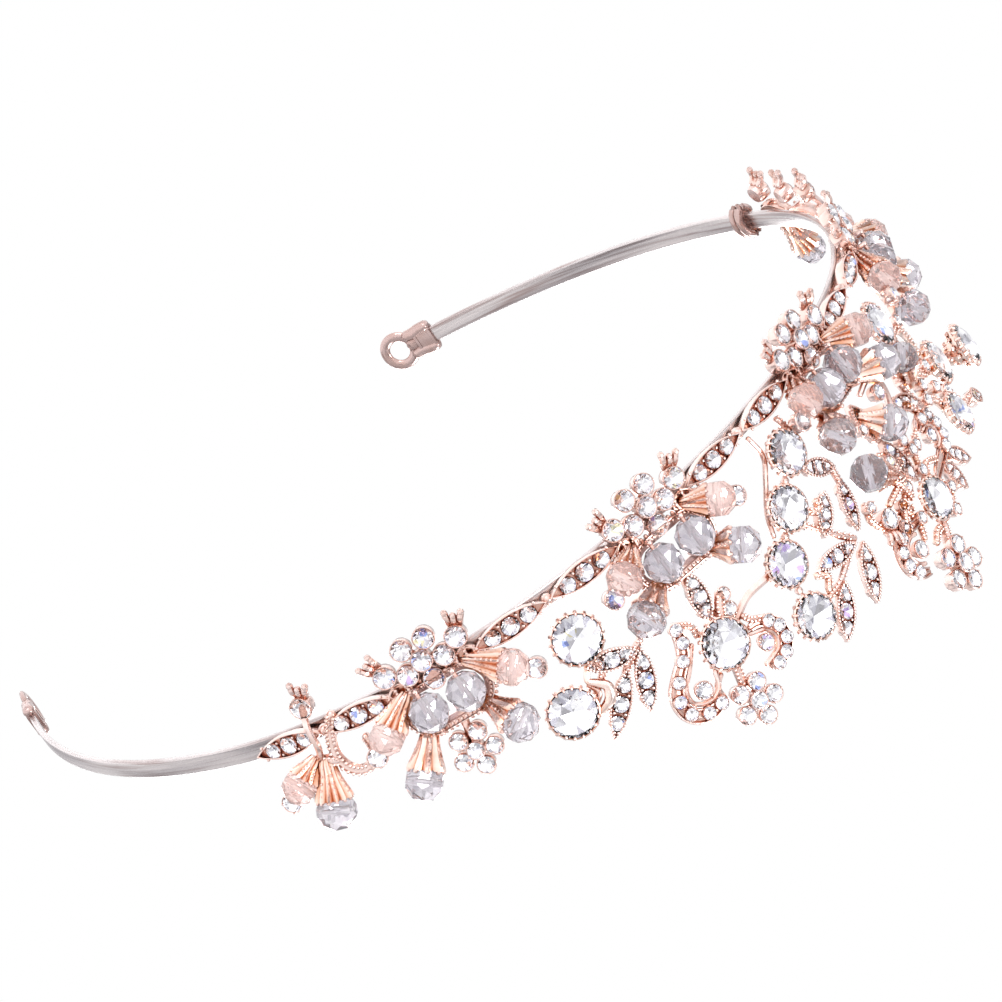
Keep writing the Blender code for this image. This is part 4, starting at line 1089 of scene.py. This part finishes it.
def make_spray_right():
    casting = Casting("spray_right")
    for name in ("stone_right_low", "stone_right_high", "stone_right_top"):
        casting.setting(name)
    casting.laid_leaf((-33.4, 16.4), (-42.0, 12.2))
    casting.laid_leaf((-28.2, 16.4), (-35.4, 20.8), back=0.5, width=3.0, front=1.8)
    casting.arm([(-34.4, 15.9, 1.1), (-34.6, 20.0, 1.1)])
    casting.arm([(-39.8, 12.0, 1.1), (-41.4, 14.8, 1.1), (-45.4, 18.6, 1.1)])
    casting.arm([(-45.8, 24.4, 1.1), (-44.7, 25.5, 1.1)])
    casting.arm([(-52.2, 23.0, 1.4), (-53.6, 23.6, 2.6), (-54.8, 24.1, 4.0)], width=0.7)
    casting.raised_stone(seat(-55.4, 24.4, 3.6), 3.6)
    casting.laid_leaf((-47.4, 29.4), (-53.0, 31.6), width=2.8, back=1.6, front=3.4)
    casting.arm([(-44.6, 29.4, 1.6), (-47.2, 29.2, 2.2), (-49.0, 30.0, 2.2)], width=0.7)
    casting.collet(seat(-25.8), 0.0, 12.9, 1.4, 1.6, 3.4, 4)
    for along, up in ((-38.2, 14.6), (-38.2, 19.8), (-36.4, 21.7), (-37.7, 17.4), (-44.3, 24.9), (-46.2, 11.5),
                      (-33.6, 22.6), (-41.6, 22.4), (-43.4, 19.2)):
        casting.collet(seat(along), 0.0, up, 1.15, 0.8, 2.5, 3)
    for path in (((-36.0, 15.6), (-38.6, 17.6), (-37.0, 21.8)), ((-37.2, 21.6), (-39.8, 23.6), (-40.8, 25.6)),
                 ((-43.0, 12.0), (-46.2, 12.6), (-47.2, 15.8), (-46.4, 18.0)), ((-40.4, 18.2), (-43.4, 20.4), (-45.0, 20.6)),
                 ((-31.8, 19.0), (-33.4, 22.4), (-31.6, 23.6))):
        casting.arm([(*at, 1.3) for at in path], width=0.6, finish=1)
    casting.arm([(-23.6, 11.2, 1.6), (-26.4, 10.6, 2.2), (-28.4, 12.4, 2.4), (-28.2, 15.0, 2.2), (-26.4, 17.6, 1.8)],
                width=0.5, grained=False)
    casting.arm([(-28.4, 15.6, 1.6), (-26.6, 18.6, 1.6), (-24.6, 20.6, 1.6)], width=0.5)
    casting.cup(seat(-35.0), (-1.6, 17.6, 1.6), (0.2, 13.1, 4.3), 2.45, 9, 0.18)
    make_bead("crystal_bead_spray", cross_place(seat(-35.0), (-1.6, 17.6, 1.6), (0.2, 13.1, 4.3)), 2.45, CLEAR,
              own=True)
    casting.finish("spray_right")


def make_far_end():
    """Last leaf, claw settings and bead cups of the far end, seen only from inside the band."""
    casting = Casting("far_end")
    casting.laid_leaf((-91.0, 0.2), (-99.4, -0.6), width=3.4)
    casting.claw(seat(-96.5), 0.0, -4.2, CLAW_RADIUS, radians(-65))
    casting.claw(seat(-88.6), 0.0, -3.6, 1.6, radians(-90))
    frame = seat(-93.0)
    for name, root, bead, material, slot in (
            ("end_pink_bead_far", (-1.8, 1.6, 1.6), (-4.2, 5.4, 3.4), PINK, "pink_crystal"),
            ("end_crystal_bead_far", (-3.4, 4.4, 1.6), (-6.6, 10.6, 3.4), CLEAR, "clear_crystal")):
        casting.cup(frame, root, bead, 2.7)
        make_bead(name, cross_place(frame, root, bead), 2.7, material, own=True)
    casting.arm([(-92.0, 0.6, 1.4), (-94.6, 2.4, 1.8), (-96.2, 4.8, 1.6)], width=0.9)
    casting.finish()


# ---------------------------------------------------------------- headband

def ribbon(first, last, section, steps):
    """Closed sweep of a small (out, up) section along the band."""
    rings = []
    for index in range(steps + 1):
        place = seat(first + (last - first) * index / steps, lean=0.0)
        rings.append([tuple((place @ (Vector((0.0, up, out)) * MM)) / MM) for out, up in section])
    return skin(rings)


def make_strip():
    half, thick, soft = STRIP_HEIGHT / 2.0, STRIP_THICKNESS / 2.0, 0.28
    section = []
    for cx, cy, first in ((thick - soft, half - soft, 0), (soft - thick, half - soft, 90),
                          (soft - thick, soft - half, 180), (thick - soft, soft - half, 270)):
        for i in range(4):
            angle = radians(first + 30 * i)
            section.append((STRIP_OUT + cx + soft * cos(angle), cy + soft * sin(angle)))
    mould = Mould()
    mould.add(ribbon(-STRIP_END, STRIP_END, section, 220))
    make_piece("headband_strip_polished", mould, (STRIP,), ["headband_strip"])


def make_sleeve(mould, along, length, wall=0.62):
    high = STRIP_HEIGHT / 2.0 + wall
    deep = STRIP_THICKNESS / 2.0 + wall
    soft = 0.45
    section = []
    for cx, cy, first in ((deep - soft, high - soft, 0), (soft - deep, high - soft, 90),
                          (soft - deep, soft - high, 180), (deep - soft, soft - high, 270)):
        for i in range(4):
            angle = radians(first + 30 * i)
            section.append((STRIP_OUT + cx + soft * cos(angle), cy + soft * sin(angle)))
    mould.add(ribbon(along - length / 2.0, along + length / 2.0, section, 6))
    for end in (-1, 1):
        mould.add(ribbon(along + end * length / 2.0 - 0.25, along + end * length / 2.0 + 0.25,
                         [(STRIP_OUT + (x - STRIP_OUT) * 1.1, y * 1.05) for x, y in section], 2))


def make_end_loop(name, side):
    mould = Mould()
    frame = seat(side * LOOP_AT, 0.0, STRIP_OUT, lean=0.0)
    rings = []
    around, across = 40, 10
    middle = (LOOP_RADIUS + 0.5 + LOOP_HOLE) / 2.0
    width = (LOOP_RADIUS + 0.5 - LOOP_HOLE) / 2.0
    points, faces = [], []
    for i in range(around):
        for j in range(across):
            a, b = TURN * i / around, TURN * j / across
            r = middle + width * cos(b)
            points.append((r * cos(a), r * sin(a), 0.5 * sin(b)))
            i2, j2 = (i + 1) % around, (j + 1) % across
            faces.append((i * across + j, i2 * across + j, i2 * across + j2, i * across + j2))
    mould.add((points, faces), frame)
    make_sleeve(mould, side * (STRIP_END - 1.4), 3.0, 0.35)
    for hand in (-1.0, 1.0):
        tab = smooth([(LOOP_AT - 2.6, 1.9, 1.0), (STRIP_END + 0.4, 1.75, 1.15), (STRIP_END - 1.0, 1.95, 1.15),
                      (STRIP_END - 2.6, 2.1, 1.0)], 4)
        folds = [seat(side * p[0], hand * p[1], STRIP_OUT, lean=0.0) for p in tab]
        mould.add(strand([(m.translation, m.col[2].xyz) for m in folds], [p[2] for p in tab], 1.05, 12))
    neck = [(side * (STRIP_END + 0.4), 0.0, STRIP_OUT, 1.7), (side * (STRIP_END + 1.6), 0.0, STRIP_OUT, 1.4)]
    line = [(seat(p[0], p[1], p[2], lean=0.0)) for p in neck]
    mould.add(strand([(m.translation, m.col[2].xyz) for m in line], [1.7, 1.5], 0.75, 12))
    make_piece(f"end_loop_{name}_cast", mould, (FITTING,), [f"end_loop_{name}"])


def make_clip(name, along):
    mould = Mould()
    make_sleeve(mould, along, 2.0, 0.5)
    for shift in (-0.8, 0.8):
        hoop = [(0.0, 2.5 * cos(radians(a)), STRIP_OUT + 1.5 * sin(radians(a))) for a in range(120, 421, 20)]
        mould.wire(seat(along + shift, lean=0.0), hoop, 0.75, 10)
    make_piece(f"strip_clip_{name}_cast", mould, (FITTING,), [f"strip_clip_{name}"])


# ---------------------------------------------------------------- floor, light and camera

def make_floor():
    """Pale floor, seen only from above, so that a low camera looks through it."""
    bpy.ops.mesh.primitive_plane_add(size=3.0, location=(0.0, 0.0, -0.0004))
    floor = bpy.context.object
    floor.name = "pale_floor"
    material, tree, shader = new_material("pale_floor", Roughness=0.6)
    cloud = noise(tree, 6.0, 2.0)
    tones = ramp(tree, ((0.3, (0.86, 0.85, 0.85)), (0.7, (0.90, 0.90, 0.90))))
    tree.links.new(cloud.outputs["Fac"], tones.inputs["Fac"])
    tree.links.new(tones.outputs["Color"], shader.inputs["Base Color"])
    clear = node(tree, "ShaderNodeBsdfTransparent")
    facing = node(tree, "ShaderNodeNewGeometry")
    mix = node(tree, "ShaderNodeMixShader")
    tree.links.new(facing.outputs["Backfacing"], mix.inputs[0])
    tree.links.new(shader.outputs[0], mix.inputs[1])
    tree.links.new(clear.outputs[0], mix.inputs[2])
    tree.links.new(mix.outputs[0], tree.nodes["Material Output"].inputs["Surface"])
    floor.data.materials.append(material)
    floor.visible_shadow = False


def make_world():
    """White to the camera; soft bands of white and grey for the metal and stones to reflect."""
    world = bpy.data.worlds.new("studio")
    bpy.context.scene.world = world
    world.use_nodes = True
    tree = world.node_tree
    background = tree.nodes["Background"]
    place = node(tree, "ShaderNodeTexCoord")
    patches = node(tree, "ShaderNodeTexNoise", {"Scale": 3.4, "Detail": 1.0})
    tree.links.new(place.outputs["Generated"], patches.inputs["Vector"])
    tones = ramp(tree, ((0.34, (0.42, 0.41, 0.43)), (0.44, (0.68, 0.67, 0.70)), (0.52, (0.94, 0.93, 0.94)),
                        (0.70, (1.15, 1.15, 1.15))))
    tree.links.new(patches.outputs["Fac"], tones.inputs["Fac"])
    ray = node(tree, "ShaderNodeLightPath")
    mix = node(tree, "ShaderNodeMix", {"B": (1.0, 1.0, 1.0, 1.0)}, data_type="RGBA")
    tree.links.new(ray.outputs["Is Camera Ray"], mix.inputs["Factor"])
    tree.links.new(tones.outputs["Color"], mix.inputs["A"])
    tree.links.new(mix.outputs["Result"], background.inputs["Color"])


def add_light(name, place, target, size, power):
    data = bpy.data.lights.new(name, "AREA")
    data.shape = "DISK"
    data.size = size
    data.energy = power
    light = bpy.data.objects.new(name, data)
    light.location = place
    light.rotation_mode = "QUATERNION"
    light.rotation_quaternion = (Vector(target) - Vector(place)).to_track_quat("-Z", "Y")
    bpy.context.scene.collection.objects.link(light)


CAMERA_AZIMUTH = radians(32.417)
CAMERA_ELEVATION = radians(-17.558)
CAMERA_ROLL = radians(145.124)
CAMERA_DISTANCE = 688.427
CAMERA_TARGET = (0.251, 62.786, 4.583)
CAMERA_LENS = 154.4


def camera_axes():
    a, e = CAMERA_AZIMUTH, CAMERA_ELEVATION
    back = Vector((sin(a) * cos(e), -cos(a) * cos(e), sin(e)))
    right = Vector((cos(a), sin(a), 0.0))
    up = back.cross(right)
    x = cos(CAMERA_ROLL) * right + sin(CAMERA_ROLL) * up
    y = -sin(CAMERA_ROLL) * right + cos(CAMERA_ROLL) * up
    return x, y, back


def make_camera():
    x, y, back = camera_axes()
    target = ORIGIN.translation + Vector(CAMERA_TARGET) * MM
    data = bpy.data.cameras.new("camera")
    data.lens = CAMERA_LENS
    data.sensor_width = 36.0
    data.clip_start = 0.01
    data.clip_end = 20.0
    camera = bpy.data.objects.new("camera", data)
    turn = Matrix((x, y, back)).transposed().to_4x4()
    camera.matrix_world = Matrix.Translation(target + back * CAMERA_DISTANCE * MM) @ turn
    bpy.context.scene.collection.objects.link(camera)
    bpy.context.scene.camera = camera


def make_lights():
    """Two soft lamps on the camera's side and one behind; one overhead for the other views."""
    x, y, back = camera_axes()
    middle = ORIGIN.translation + Vector((0.0, 40.0, 10.0)) * MM
    add_light("key", middle + (back * 0.5 + y * 0.42 - x * 0.3), middle, 0.22, 3.0)
    add_light("fill", middle + (back * 0.45 + x * 0.5 - y * 0.1), middle, 0.35, 1.6)
    add_light("overhead", middle + Vector((0.1, 0.0, 0.6)), middle, 0.35, 2.5)
    add_light("behind", middle + Vector((-0.2, 0.55, 0.3)), middle, 0.3, 1.6)


# ---------------------------------------------------------------- whole scene

def build():
    make_strip()
    for name, side in (("left", 1), ("right", -1)):
        make_end_loop(name, side)
        make_end_group(name, side)
        if f"strip_clip_{name}" in frame["nodes"]:
            make_clip(name, side * abs(CLIP_AT))
    for name, junction in JUNCTIONS.items():
        make_leaf_pair(name, junction)
    for name in UNITS:
        make_unit(name)
    make_spray_left()
    make_swirl_left()
    make_spray_front()
    make_swirl_right()
    make_spray_right()
    make_far_end()
    make_large_stones()
    make_floor()
    make_world()
    make_camera()
    make_lights()
    bpy.context.scene.view_settings.view_transform = "Standard"


build()

bpy.context.view_layer.update()
